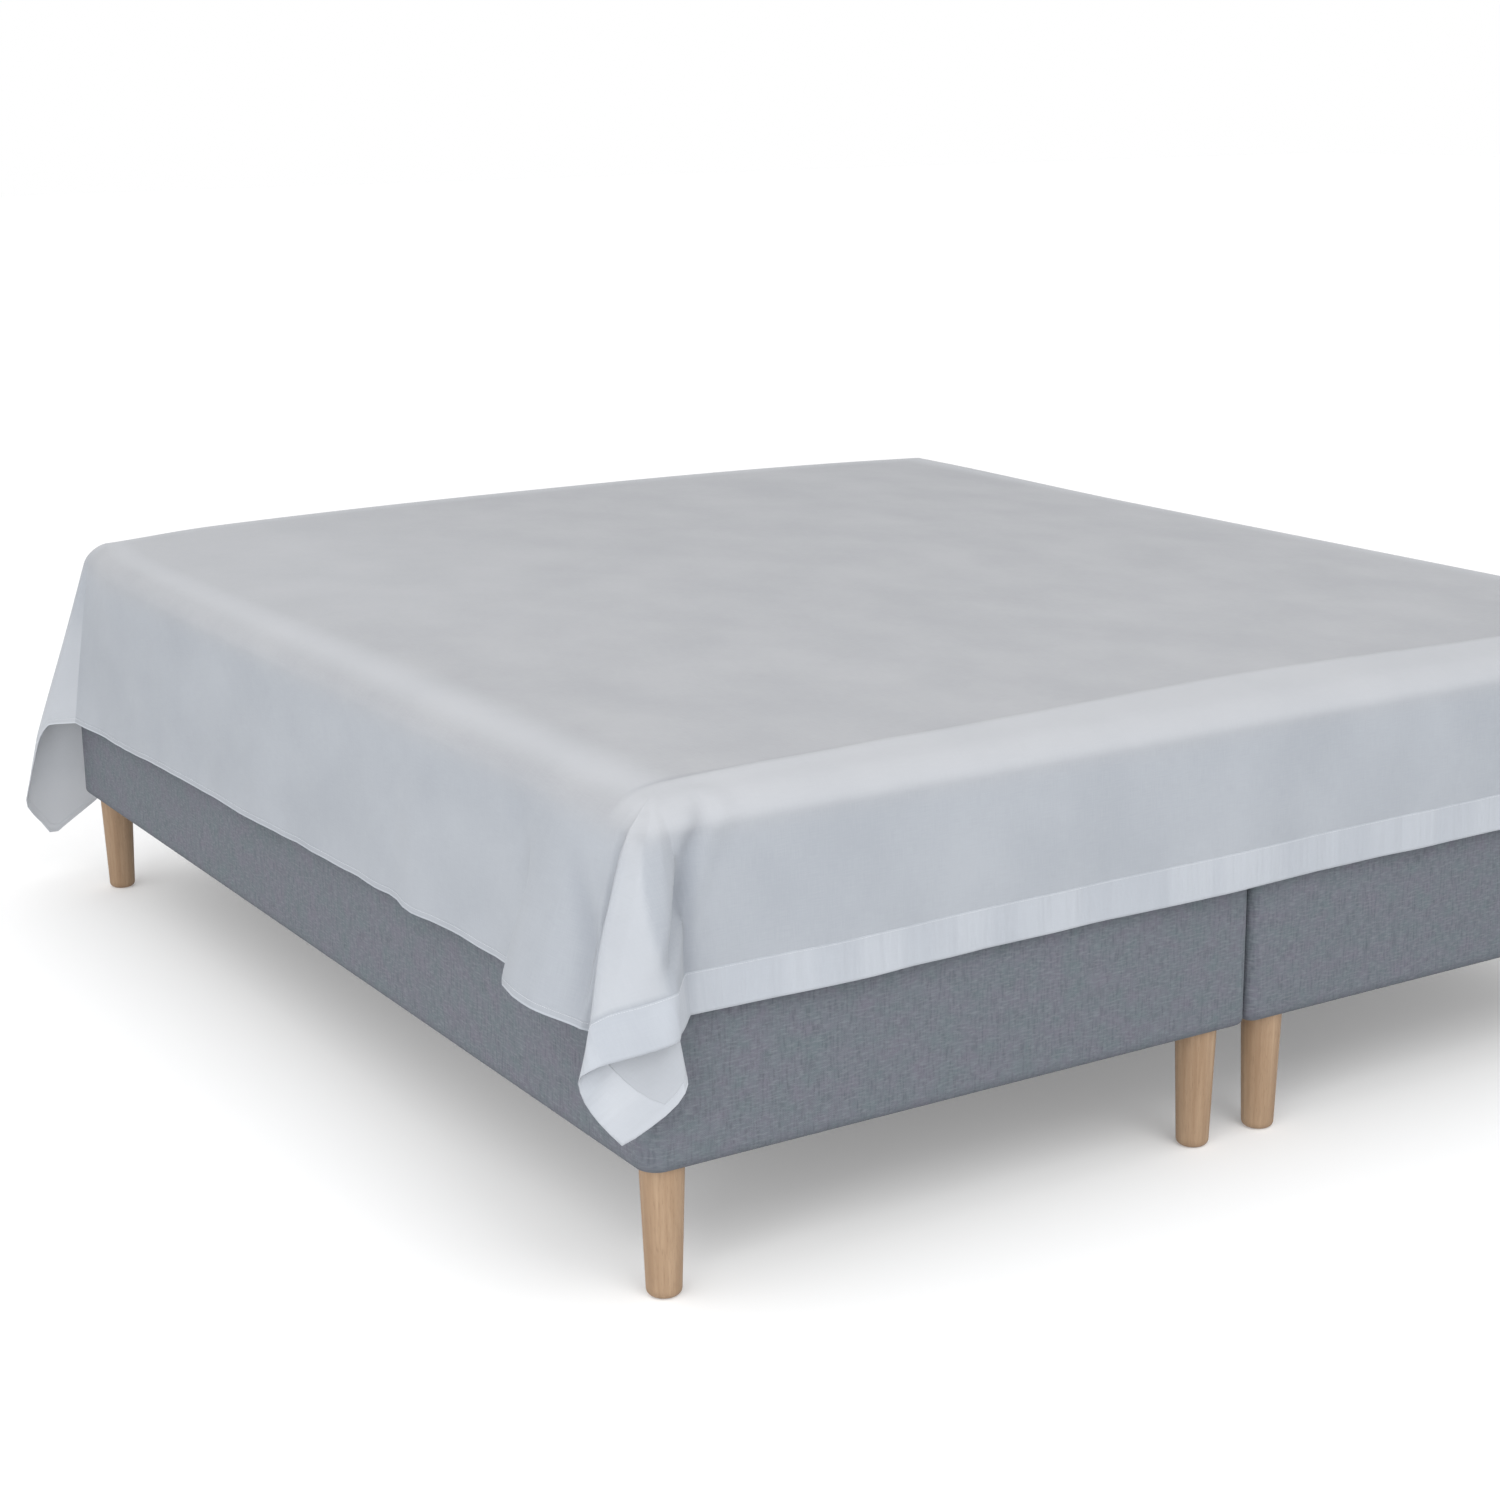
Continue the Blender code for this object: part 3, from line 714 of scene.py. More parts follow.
# %% UV map from the flat cloth
both = np.concatenate([flat, flat])
corners = np.zeros(len(sheet.data.loops), int)
sheet.data.loops.foreach_get("vertex_index", corners)
uv = sheet.data.uv_layers.new(name="flat cloth")
uv.data.foreach_set("uv", both[corners].astype(np.float32).ravel())
print("UV map", uv.name, "covers", np.round(np.ptp(both, axis=0), 3), "m")

# %% [markdown]
# ## Painted highlight and shade on the cloth
#
# The sheet gets a painted highlight along the bed's edges, on the far left of
# the top and where the cloth lies double on the ears, a painted cool shade
# where it hangs free, and painted shade deep in a fine crease. A finish can't
# know where that is, so we store a number for each on every point of the
# sheet, and the finish reads them as attributes.

# %% Painted highlight along the bed's edges
# metres past the bed's edge: the painted highlight rises from the first number
# to the second and fades from the third to the fourth
HIGHLIGHT_SIDE = (-0.105, -0.040, -0.036, 0.002)
HIGHLIGHT_FOOT = (-0.012, 0.008, 0.004, 0.032)   # it rises at the crease there
HIGHLIGHT_HEAD = (-0.090, -0.030)
CORNER_FADE = (-0.02, 0.02)
FAR_LEFT = 0.5                               # a little painted highlight on the top there too:
FROM_MIDDLE, FROM_FOOT = (0.1, 0.85), (-0.5, 0.6)    # more to the left and the head,
TOP_ONLY = (-0.03, 0.03)                     # and not past the bed's edge
FREE_FROM = (-0.02, 0.06)                    # it hangs free from the edge on


def store(piece, name, values):
    """Keeps one number per point of a piece for its finish to read."""
    kept = piece.data.attributes.new(name, "FLOAT", "POINT")
    kept.data.foreach_set("value", values.astype(np.float32))


def along_edges(flat, past_side, past_end):
    """Painted highlight along the bed's sides and ends, and on the far left of the top."""
    rise, crest, fall, end = HIGHLIGHT_FOOT
    at, inset, _ = zip(*FOOT_CREASE)
    inset = eased(at, inset, np.clip(flat[:, 0], at[0], at[-1]))
    ends = np.where(flat[:, 1] < 0, ramp(past_end, rise - inset, crest - inset),
                    ramp(past_end, *HIGHLIGHT_HEAD)) * (1 - ramp(past_end, fall, end))
    rise, crest, fall, end = HIGHLIGHT_SIDE
    sides = ramp(past_side, rise, crest) * (1 - ramp(past_side, fall, end))
    edges = np.maximum(sides * (1 - ramp(past_end, *CORNER_FADE)),
                       ends * (1 - ramp(past_side, *CORNER_FADE)))
    far_left = ramp(-flat[:, 0], *FROM_MIDDLE) * ramp(flat[:, 1], *FROM_FOOT)
    far_left = far_left * (1 - ramp(np.maximum(past_side, past_end), *TOP_ONLY))
    return np.maximum(edges, FAR_LEFT * far_left)


past_side = np.abs(both[:, 0]) - BED_WIDTH / 2
past_end = np.abs(both[:, 1]) - BED_LENGTH / 2
painted_light = along_edges(both, past_side, past_end)
store(sheet, "hangs free", ramp(np.maximum(past_side, past_end), *FREE_FROM))
print("painted highlight along the edges:", round(float(painted_light.mean()), 3), "of the cloth's points")

# %% Painted highlight on the ears, where the cloth lies double
# metres from a corner's pole, and how far round the ear's front reaches there
FRONT_ENDS = ((0.03, 57.0), (0.07, 60.7), (0.14, 66.0), (0.21, 71.0), (0.28, 72.6), (0.34, 74.0))
FRONT_FROM, FRONT_FADE = (56, 58), 1.5       # degrees
FRONT_DOWN = (0.005, 0.035)                  # metres from the pole
POINT_FROM, POINT_TO = (22, 30), (46, 52)    # degrees
POINT_DOWN, POINT_SHARE = (0.20, 0.26), 0.8
HEAD_DOWN = (0.08, 0.22)
INTO_HEM = 0.004                             # the front ends this far into the wide hem


def on_ears(flat):
    """Painted highlight on the double cloth of the ears' fronts and in their points."""
    from_pole = np.abs(flat) - (FLAT_X, FLAT_Y)
    turn = np.degrees(np.arctan2(from_pole[:, 1], from_pole[:, 0]))
    away = np.linalg.norm(from_pole, axis=1)
    front_end = np.interp(away, *zip(*FRONT_ENDS))
    front = ramp(turn, *FRONT_FROM) * (1 - ramp(turn, front_end - FRONT_FADE,
                                                front_end + FRONT_FADE))
    front = front * ramp(away, *FRONT_DOWN) * (flat[:, 1] > FOOT_HEM_LINE - INTO_HEM)
    point = ramp(turn, *POINT_FROM) * (1 - ramp(turn, *POINT_TO)) * ramp(away, *POINT_DOWN)
    at_foot = np.maximum(front, POINT_SHARE * point)
    at_corner = from_pole.min(axis=1) > 0
    return np.where(flat[:, 1] < 0, at_foot, ramp(away, *HEAD_DOWN)) * at_corner


painted_light = np.maximum(painted_light, on_ears(both))
store(sheet, "painted highlight", painted_light)
print("painted highlight in all:", round(float(painted_light.mean()), 3), "of the cloth's points")

# %% Shade in the fine creases
# flat place of each crease, and how deep its shade is there
CREASE_LINE = ((0.880, 0.938, 0.2), (0.850, 0.934, 0.8), (0.780, 0.932, 0.9),
               (0.660, 0.928, 0.5), (0.500, 0.920, 0.0))
FLAP_LINE = ((0.950, 0.885, 0.0), (0.985, 0.905, 0.3), (1.018, 0.929, 0.5),
             (1.062, 0.961, 0.6), (1.110, 0.961, 0.5), (1.130, 0.961, 0.3))
EAR_LINE = ((0.822, 0.996, 0.0), (0.828, 1.006, 0.3), (0.841, 1.031, 0.7),
            (0.850, 1.056, 0.9), (0.858, 1.098, 1.0), (0.864, 1.140, 0.9),
            (0.869, 1.185, 0.8), (0.873, 1.215, 0.5), (0.876, 1.250, 0.3))
SHADED = ((CREASE_LINE, 0.009), (FLAP_LINE, 0.030), (EAR_LINE, 0.024))    # and its reach
in_fold = np.max([near_line(np.abs(both), line, width) for line, width in SHADED], axis=0)
in_fold = in_fold * (both[:, 1] < 0)
store(sheet, "in a fold", in_fold)
print(int((in_fold > 0.5).sum()), "points lie deep in a crease")

# %% [markdown]
# ## Small tools for node trees
#
# Materials and geometry trees are both built from nodes. One helper adds a
# node, fills its inputs and links it, so that each tree reads like a recipe.

# %% Adding nodes
def fill(tree, node, inputs):
    """Gives a node's inputs plain values, or links them to other outputs."""
    for name, value in inputs.items():
        if isinstance(value, bpy.types.NodeSocket):
            tree.links.new(value, node.inputs[name])
        else:
            node.inputs[name].default_value = value


def add_node(tree, kind, inputs=None, **settings):
    """Adds a node, with its settings and its inputs."""
    made = tree.nodes.new(kind)
    for name, value in settings.items():
        setattr(made, name, value)
    fill(tree, made, inputs or {})
    return made


def maths(tree, operation, *values):
    """The output of a Math node."""
    return add_node(tree, "ShaderNodeMath", dict(enumerate(values)),
                    operation=operation).outputs[0]


print("node trees so far:", len(bpy.data.node_groups))

# %% [markdown]
# A Geometry Nodes tree is made, run once on a source object, and its result is
# kept as a plain mesh. That way the piece can be measured like any other.

# %% Making and running a geometry tree
def geometry_tree(name, inputs):
    """A Geometry Nodes tree with named inputs; returns it and its input node."""
    tree = bpy.data.node_groups.new(name, "GeometryNodeTree")
    tree.interface.new_socket("Geometry", in_out="INPUT", socket_type="NodeSocketGeometry")
    for label, kind in inputs.items():
        tree.interface.new_socket(label, in_out="INPUT", socket_type="NodeSocket" + kind)
    tree.interface.new_socket("Geometry", in_out="OUTPUT", socket_type="NodeSocketGeometry")
    return tree, add_node(tree, "NodeGroupInput").outputs


def finish_tree(tree, instances, material):
    """Ends a tree: real geometry out of the instances, with its material."""
    real = add_node(tree, "GeometryNodeRealizeInstances", {"Geometry": instances})
    painted = add_node(tree, "GeometryNodeSetMaterial",
                       {"Geometry": real.outputs[0], "Material": material})
    add_node(tree, "NodeGroupOutput", {"Geometry": painted.outputs[0]})


def run_tree(name, source, tree, values):
    """Runs a tree on a source object and returns the result as a plain piece."""
    modifier = source.modifiers.new("tree", "NODES")
    modifier.node_group = tree
    sockets = {item.name: item.identifier for item in tree.interface.items_tree
               if item.in_out == "INPUT"}
    for label, value in values.items():
        modifier[sockets[label]] = value
    mesh = bpy.data.meshes.new_from_object(
        source.evaluated_get(bpy.context.evaluated_depsgraph_get()))
    mesh.name = name
    bpy.data.objects.remove(source)
    print(f"{name}: {len(mesh.polygons)} faces from the tree {tree.name!r}")
    return show(name, mesh)


# %% [markdown]
# ## Cotton
#
# The sheet is thin percale. A little light passes through one layer of it, and
# hardly any through a hem, so hems look whiter. Cloth like this could be drawn
# with a translucent shader, but a plain alpha on the cloth says the same in
# every renderer. Thicker threads, called slubs, run along both directions of
# the weave, and the noise is stretched along the threads to make them.

# %% What the materials share
def object_place(tree):
    """Object coordinates, so that a pattern keeps its size in metres."""
    return add_node(tree, "ShaderNodeTexCoord").outputs["Object"]


def stretched_noise(tree, coordinates, scale, detail=2.0, roughness=0.5):
    """Noise with its own scale along each axis."""
    mapping = add_node(tree, "ShaderNodeMapping", {"Vector": coordinates, "Scale": scale})
    return add_node(tree, "ShaderNodeTexNoise",
                    {"Vector": mapping.outputs[0], "Scale": 1.0, "Detail": detail,
                     "Roughness": roughness}).outputs[0]


def new_material(name):
    """An empty material; returns it, its tree and its Principled shader."""
    made = bpy.data.materials.new(name)
    made.use_nodes = True
    return made, made.node_tree, made.node_tree.nodes["Principled BSDF"]


def bump(tree, shader, height, distance, strength=1.0):
    """Feeds a height into the shader's normal."""
    made = add_node(tree, "ShaderNodeBump", {"Height": height, "Distance": distance,
                                             "Strength": strength})
    tree.links.new(made.outputs[0], shader.inputs["Normal"])


def blend_colours(tree, share, first, second, how="MIX"):
    """A colour between two colours, or the first one tinted by the second."""
    return add_node(tree, "ShaderNodeMix", {0: share, 6: first, 7: second},
                    data_type="RGBA", blend_type=how).outputs[2]


def spread(tree, value, low, high):
    """Stretches low..high to 0..1 and cuts off the rest."""
    return add_node(tree, "ShaderNodeMapRange",
                    {"Value": value, "From Min": low, "From Max": high}).outputs[0]


def stored(tree, name):
    """A number that was stored on each point of the piece."""
    return add_node(tree, "ShaderNodeAttribute", attribute_name=name).outputs[2]


print("materials so far:", len(bpy.data.materials))

# %% Cotton cloth, single and doubled
COTTON_LIGHT = (0.476, 0.484, 0.508, 1.0)
COTTON_DARK = (0.424, 0.434, 0.460, 1.0)
COTTON_SHADE_TINT = (0.956, 0.996, 1.032, 1.0)     # painted cool shade, tints the cloth that hangs free
COTTON_HIGHLIGHT = (0.630, 0.650, 0.685, 1.0)    # painted highlight along the edges and on the ears
HIGHLIGHT_SHARE = 0.44
FOLD_SHADE = (0.80, 0.81, 0.83, 1.0)
PATCHY = 0.30                # painted shade in patches, the same colour, on a hem that ripples
SLUB_HEIGHT = 0.00012
CREASE_HEIGHT = 0.0011


def cotton(name, alpha, lighter, rippled=0.0):
    """Percale: slubs both ways, slow mottling, fine creases, ripples on a hem.

    The stretched noises' scales are in bumps per metre of flat cloth.
    """
    made, tree, shader = new_material(name)
    uv = add_node(tree, "ShaderNodeUVMap", uv_map="flat cloth").outputs[0]
    warp = stretched_noise(tree, uv, (900.0, 45.0, 1.0))
    weft = stretched_noise(tree, uv, (45.0, 900.0, 1.0))
    slubs = maths(tree, "ADD", warp, weft)
    mottle = stretched_noise(tree, uv, (7.0, 5.0, 1.0), detail=4.0)
    creases = stretched_noise(tree, uv, (38.0, 26.0, 1.0), detail=5.0, roughness=0.55)
    tone = maths(tree, "ADD", spread(tree, mottle, 0.30, 0.72),
                 maths(tree, "MULTIPLY", maths(tree, "SUBTRACT", slubs, 1.0), 1.1))
    dark = tuple(c + (l - c) * lighter for c, l in zip(COTTON_DARK, COTTON_LIGHT))
    lying = blend_colours(tree, tone, dark, COTTON_LIGHT)
    # painted cool shade on the cloth that hangs free
    free = blend_colours(tree, stored(tree, "hangs free"), lying, COTTON_SHADE_TINT, "MULTIPLY")
    # painted highlight along the edges, on the ears and on the far left of the top
    painted_light = maths(tree, "MULTIPLY", stored(tree, "painted highlight"), HIGHLIGHT_SHARE)
    drawn = blend_colours(tree, painted_light, free, COTTON_HIGHLIGHT)
    colour = blend_colours(tree, stored(tree, "in a fold"), drawn, FOLD_SHADE, "MULTIPLY")
    rough = maths(tree, "MULTIPLY", creases, CREASE_HEIGHT)
    if rippled:
        ripples = stretched_noise(tree, uv, (42.0, 3.0, 1.0), detail=2.0, roughness=0.6)
        rough = maths(tree, "ADD", rough, maths(tree, "MULTIPLY", ripples, rippled))
        # painted shade in patches, for the light and dark of the rippled hem
        patches = stretched_noise(tree, uv, (15.0, 2.0, 1.0), detail=1.0)
        patchy = maths(tree, "MULTIPLY", spread(tree, patches, 0.46, 0.62), PATCHY)
        colour = blend_colours(tree, patchy, colour, FOLD_SHADE, "MULTIPLY")
    height = maths(tree, "ADD", maths(tree, "MULTIPLY", slubs, SLUB_HEIGHT), rough)
    bump(tree, shader, height, 1.0, 0.55)
    fill(tree, shader, {"Base Color": colour, "Roughness": 0.82, "Sheen Weight": 0.12,
                        "Sheen Roughness": 0.5, "Specular IOR Level": 0.25, "Alpha": alpha})
    return made


SHEER, NEARLY_SOLID = 0.74, 0.93
sheet.data.materials.append(cotton("percale, one layer", SHEER, 0.0))
sheet.data.materials.append(cotton("percale hem", NEARLY_SOLID, 0.35, rippled=0.0090))
sheet.data.polygons.foreach_set("material_index", hem_share.astype(np.int32))
print("the sheet has", len(sheet.data.materials), "finishes")

# %% [markdown]
# ## Stitches along the hems
#
# A hem is held by a straight row of lockstitches, about three millimetres
# apart. That is thousands of equal stitches on one path, which is just what
# Geometry Nodes are for: the path goes in, and the tree lays one stitch after
# another on it, turned with the path and the cloth.

# %% The path of the stitches
stitch_ring = rings[STITCH_ROW + 1]
THREAD_LIFT = 0.0001
path = middle[stitch_ring] + normals[stitch_ring] * (half[stitch_ring] + THREAD_LIFT)[:, None]
line = bpy.data.meshes.new("stitch path")
line.from_pydata([tuple(p) for p in path],
                 [(i, (i + 1) % len(path)) for i in range(len(path))], [])
up = line.attributes.new("up", "FLOAT_VECTOR", "POINT")
up.data.foreach_set("vector", normals[stitch_ring].astype(np.float32).ravel())
stitch_path = show("stitch path", line)
print("stitched", round(float(np.linalg.norm(np.diff(path, axis=0), axis=1).sum()), 2), "m")


# %% The tree that sews
def sewing_tree():
    """Stitches along a path; the attribute up says where they face."""
    tree, given = geometry_tree("sewing", {
        "Pitch": "Float", "Length": "Float", "Width": "Float", "Seed": "Int",
        "Thread": "Material"})
    curve = add_node(tree, "GeometryNodeMeshToCurve", {"Mesh": given["Geometry"]})
    points = add_node(tree, "GeometryNodeResampleCurve",
                      {"Curve": curve.outputs[0], "Length": given["Pitch"]}, mode="LENGTH")
    bead = add_node(tree, "GeometryNodeMeshIcoSphere", {"Radius": 0.5, "Subdivisions": 1})
    size = add_node(tree, "ShaderNodeCombineXYZ",
                    {"X": given["Length"], "Y": given["Width"], "Z": given["Width"]})
    stitch = add_node(tree, "GeometryNodeTransform",
                      {"Geometry": bead.outputs[0], "Scale": size.outputs[0]})
    tangent = add_node(tree, "GeometryNodeInputTangent")
    facing = add_node(tree, "GeometryNodeInputNamedAttribute", {"Name": "up"},
                      data_type="FLOAT_VECTOR")
    along = add_node(tree, "FunctionNodeAlignRotationToVector",
                     {"Vector": tangent.outputs[0]}, axis="X")
    turned = add_node(tree, "FunctionNodeAlignRotationToVector",
                      {"Rotation": along.outputs[0], "Vector": facing.outputs[0]},
                      axis="Z", pivot_axis="X")
    uneven = add_node(tree, "FunctionNodeRandomValue",
                      {2: 0.88, 3: 1.08, "Seed": given["Seed"]}, data_type="FLOAT")
    laid = add_node(tree, "GeometryNodeInstanceOnPoints",
                    {"Points": points.outputs[0], "Instance": stitch.outputs[0],
                     "Rotation": turned.outputs[0], "Scale": uneven.outputs[1]})
    finish_tree(tree, laid.outputs[0], given["Thread"])
    return tree


sewing = sewing_tree()
print("the tree", sewing.name, "has", len(sewing.nodes), "nodes")

# %% [markdown]
# The thread is white cotton too, but two plies twisted together. A stitch is
# too small to model them, so fine noise gives it their uneven light.

# %% Thread and sewing
def thread():
    """White sewing thread."""
    made, tree, shader = new_material("sewing thread")
    place = object_place(tree)
    ply = stretched_noise(tree, place, (2600.0, 2600.0, 2600.0), detail=1.0)
    colour = blend_colours(tree, ply, (0.58, 0.60, 0.63, 1.0), (0.76, 0.77, 0.79, 1.0))
    bump(tree, shader, ply, 0.0001)
    fill(tree, shader, {"Base Color": colour, "Roughness": 0.55})
    return made


stitching = run_tree("hem_stitching", stitch_path, sewing, {
    "Pitch": 0.0030, "Length": 0.0024, "Width": 0.0005, "Seed": 4, "Thread": thread()})

# %% [markdown]
# ## The topper
#
# A topper is a thin mattress: a foam or wadding core in a ticking cover, with
# a border sewn round it. It is soft enough to round its own edge, which gives
# the sheet its shoulder. The same plan of rays builds it, this time closed
# below as well, and the same settling crowns it.

# %% A closed block from a plan and a profile
def arc(radius, steps, inset, z, start):
    """Quarter of a rounding, as (inset, z) pairs; start is 0 above, 1 below."""
    turns = [pi / 2 * k / steps for k in range(steps + 1)]
    if start == 0:
        return [(inset + radius * (1 - sin(a)), z - radius * (1 - cos(a))) for a in turns]
    return [(inset + radius * (1 - cos(a)), z + radius * (1 - sin(a))) for a in turns]


def block(name, plan, profile, shaping):
    """A closed block: top grid, rings down the profile, bottom grid.

    profile: (inset from the outer face, z) from the top to the underside.
    """
    shape = plan.grid.shape[:2]
    cap = plan.grid.reshape(-1, 2)
    rays = len(plan.edge)
    rows = [plan.start + plan.out * (plan.radius - inset)[:, None] for inset, _ in profile]
    points = [np.column_stack([cap, np.full(len(cap), profile[0][1])])]
    points += [np.column_stack([row, np.full(rays, z)]) for row, (_, z) in zip(rows, profile)]
    points.append(np.column_stack([cap, np.full(len(cap), profile[-1][1])]))
    last = len(cap) + rays * len(rows)
    rings = [plan.edge] + [len(cap) + rays * k + np.arange(rays) for k in range(len(rows))]
    rings.append(last + plan.edge)
    faces = grid_faces(shape, 0)
    for upper, lower in zip(rings, rings[1:]):
        faces += ring_faces(upper, lower)
    faces += grid_faces(shape, last, up=False)
    made = add_piece(name, shaping(np.concatenate(points)), faces)
    check_closed(made)
    return made


print("a 10 mm rounding in two steps:", np.round(arc(0.010, 2, 0.0, 0.0, 0), 4).tolist())

# %% The topper's shape
SEAM_DEPTH = 0.0012               # the border's seams draw the cover in
SEAM_HALF = 0.0015                # over this much above and below
SEAM_HEIGHTS = (0.021, 0.012)     # above the topper's underside
TOPPER_STEPS = (0.03, 0.12, 0.045)    # fine ones, how far they go, and coarse ones
topper_x = BED_WIDTH / 2 - TOPPER_SET_IN - TOPPER_CORNER_RADIUS
topper_y = BED_LENGTH / 2 - TOPPER_SET_IN - TOPPER_CORNER_RADIUS
topper_plan = ray_plan(
    [(-topper_x, -topper_y), (topper_x, -topper_y), (topper_x, topper_y),
     (-topper_x, topper_y)], [TOPPER_CORNER_RADIUS] * 4,
    graded(2 * topper_x, *TOPPER_STEPS), graded(2 * topper_y, *TOPPER_STEPS),
    np.linspace(0, 90, 17))


def seam(z):
    """Three rows that draw the cover in at a seam."""
    return [(0.0, z + SEAM_HALF), (SEAM_DEPTH, z), (0.0, z - SEAM_HALF)]


topper_profile = (arc(TOPPER_SHOULDER, 10, 0.0, TOPPER_TOP, 0)
                  + seam(TOPPER_Z + SEAM_HEIGHTS[0]) + seam(TOPPER_Z + SEAM_HEIGHTS[1])
                  + arc(TOPPER_LOWER_EDGE, 4, 0.0, TOPPER_Z, 1))
topper = block("topper_pad", topper_plan, topper_profile, settle)

# %% [markdown]
# ## Ticking
#
# The cover is a white knit with small raised diamonds. It only shows where
# the cloth lets it through, or where somebody looks up from below.

# %% Ticking for the topper
DIAMONDS = 160.0         # radians a metre along both axes


def ticking():
    """White knit cover with small diamonds."""
    made, tree, shader = new_material("white ticking")
    place = object_place(tree)
    axes = add_node(tree, "ShaderNodeSeparateXYZ", {"Vector": place}).outputs
    one, other = (
        maths(tree, "SINE",
              maths(tree, "MULTIPLY", maths(tree, operation, axes[0], axes[1]), DIAMONDS))
        for operation in ("ADD", "SUBTRACT"))
    diamonds = maths(tree, "MULTIPLY", one, other)
    knit = stretched_noise(tree, place, (700.0, 700.0, 700.0))
    colour = blend_colours(tree, spread(tree, diamonds, -1.0, 1.0),
                           (0.66, 0.66, 0.66, 1.0), (0.76, 0.76, 0.755, 1.0))
    bump(tree, shader, maths(tree, "ADD", diamonds, knit), 0.0008, 0.6)
    fill(tree, shader, {"Base Color": colour, "Roughness": 0.9})
    return made


topper.data.materials.append(ticking())
print("topper in", topper.data.materials[0].name)

# %% [markdown]
# ## The upholstered bases
#
# A box base is a wooden frame with springs, padded with a little wadding and
# covered in woven cloth that is drawn tight and stapled underneath. The cloth
# bends softly round the corners, tighter where the two bases meet.

# %% The bases' shape
CLOTH_UNEVEN = 0.0006
LUMP = 0.11                           # the size of its lumps
EDGE_EVEN = 0.012                     # this near the upper and lower edge it lies even
BASE_STEPS = (0.02, 0.06, 0.03)       # fine ones, how far they go, and coarse ones


def upholstery(points):
    """Lets the drawn cloth lie a little unevenly on its wadding."""
    moved = np.array(points, float)
    middle = moved.mean(axis=0)
    lumps = soft_noise(moved, LUMP, 3) * CLOTH_UNEVEN
    away = moved - middle
    away[:, 2] = 0
    away /= np.maximum(np.linalg.norm(away, axis=1), 1e-6)[:, None]
    sides = (moved[:, 2] > BASE_Z + EDGE_EVEN) & (moved[:, 2] < BASE_TOP - EDGE_EVEN)
    moved -= away * (np.abs(lumps) * sides)[:, None]
    return settle(moved, stiff=True)


def base_profile():
    """From the top of a base down its side and under it."""
    z_rows = np.linspace(BASE_TOP - BASE_EDGE_RADIUS, BASE_Z + BASE_EDGE_RADIUS, 14)[1:-1]
    return (arc(BASE_EDGE_RADIUS, 5, 0.0, BASE_TOP, 0) + [(0.0, z) for z in z_rows]
            + arc(BASE_EDGE_RADIUS, 5, 0.0, BASE_Z, 1))


def build_base(name, side):
    """One base; side is -1 for the left and 1 for the right."""
    inner, outer = side * BASE_SEAM / 2, side * BED_WIDTH / 2
    left, right = min(inner, outer), max(inner, outer)
    radii = [BASE_CORNER_RADIUS, BASE_SEAM_RADIUS]
    at_left, at_right = radii if side < 0 else radii[::-1]
    y = BED_LENGTH / 2
    corners = [(left + at_left, at_left - y), (right - at_right, at_right - y),
               (right - at_right, y - at_right), (left + at_left, y - at_left)]
    plan = ray_plan(corners, [at_left, at_right, at_right, at_left],
                    graded(BED_WIDTH / 2, *BASE_STEPS), graded(BED_LENGTH, *BASE_STEPS),
                    np.linspace(0, 90, 13))
    return block(name, plan, base_profile(), upholstery)


bases = [build_base("upholstered_base_left", -1), build_base("upholstered_base_right", 1)]

# %% [markdown]
# ## Tweed
#
# The bases' cover is a melange weave: blue-grey, lilac-grey and dark yarns
# lie side by side, so up close it is full of short strokes, and from afar one
# grey. Two stretched noises give strokes along and across, and a slow one
# drifts between the two greys. Where the cover turns under the base it is
# painted a little darker: painted shade.

# %% Tweed for the bases
TWEED_BLUE = (0.122, 0.148, 0.164, 1.0)
TWEED_LILAC = (0.142, 0.142, 0.174, 1.0)
TWEED_DARK = (0.070, 0.078, 0.093, 1.0)
TWEED_LIGHT = (0.195, 0.212, 0.235, 1.0)
UNDERSIDE_SHADE_TO = 0.016        # metres above the base's underside
THREADS = 2400.0         # radians a metre: a thread about every 2.6 mm


def tweed():
    """Melange upholstery cloth with strokes along and across."""
    made, tree, shader = new_material("grey tweed")
    place = object_place(tree)
    axes = add_node(tree, "ShaderNodeSeparateXYZ", {"Vector": place}).outputs
    level = stretched_noise(tree, place, (80.0, 80.0, 380.0), detail=3.0, roughness=0.6)
    upright = stretched_noise(tree, place, (300.0, 300.0, 45.0), detail=3.0, roughness=0.6)
    drift = stretched_noise(tree, place, (26.0, 26.0, 34.0), detail=4.0, roughness=0.6)
    grey = blend_colours(tree, spread(tree, drift, 0.34, 0.66), TWEED_BLUE, TWEED_LILAC)
    darker = blend_colours(tree, spread(tree, upright, 0.46, 0.88), grey, TWEED_DARK)
    lighter = blend_colours(tree, spread(tree, level, 0.47, 0.84), darker, TWEED_LIGHT)
    # painted shade near the underside, where the cover turns under the base
    underside_shade = add_node(tree, "ShaderNodeMapRange",
                      {"Value": axes[2], "From Min": BASE_Z + 0.002,
                       "From Max": BASE_Z + UNDERSIDE_SHADE_TO, "To Min": 0.55, "To Max": 0.0}).outputs[0]
    colour = blend_colours(tree, underside_shade, lighter, TWEED_DARK)
    along = maths(tree, "MULTIPLY", maths(tree, "ADD", axes[0], axes[1]), THREADS)
    rows = maths(tree, "SINE", maths(tree, "MULTIPLY", axes[2], THREADS))
    weave = maths(tree, "MULTIPLY", maths(tree, "SINE", along), rows)
    height = maths(tree, "ADD", maths(tree, "MULTIPLY", weave, 0.25),
                   maths(tree, "ADD", level, upright))
    bump(tree, shader, height, 0.0007, 0.7)
    fill(tree, shader, {"Base Color": colour, "Roughness": 0.92, "Sheen Weight": 0.04,
                        "Sheen Roughness": 0.6, "Specular IOR Level": 0.2})
    return made


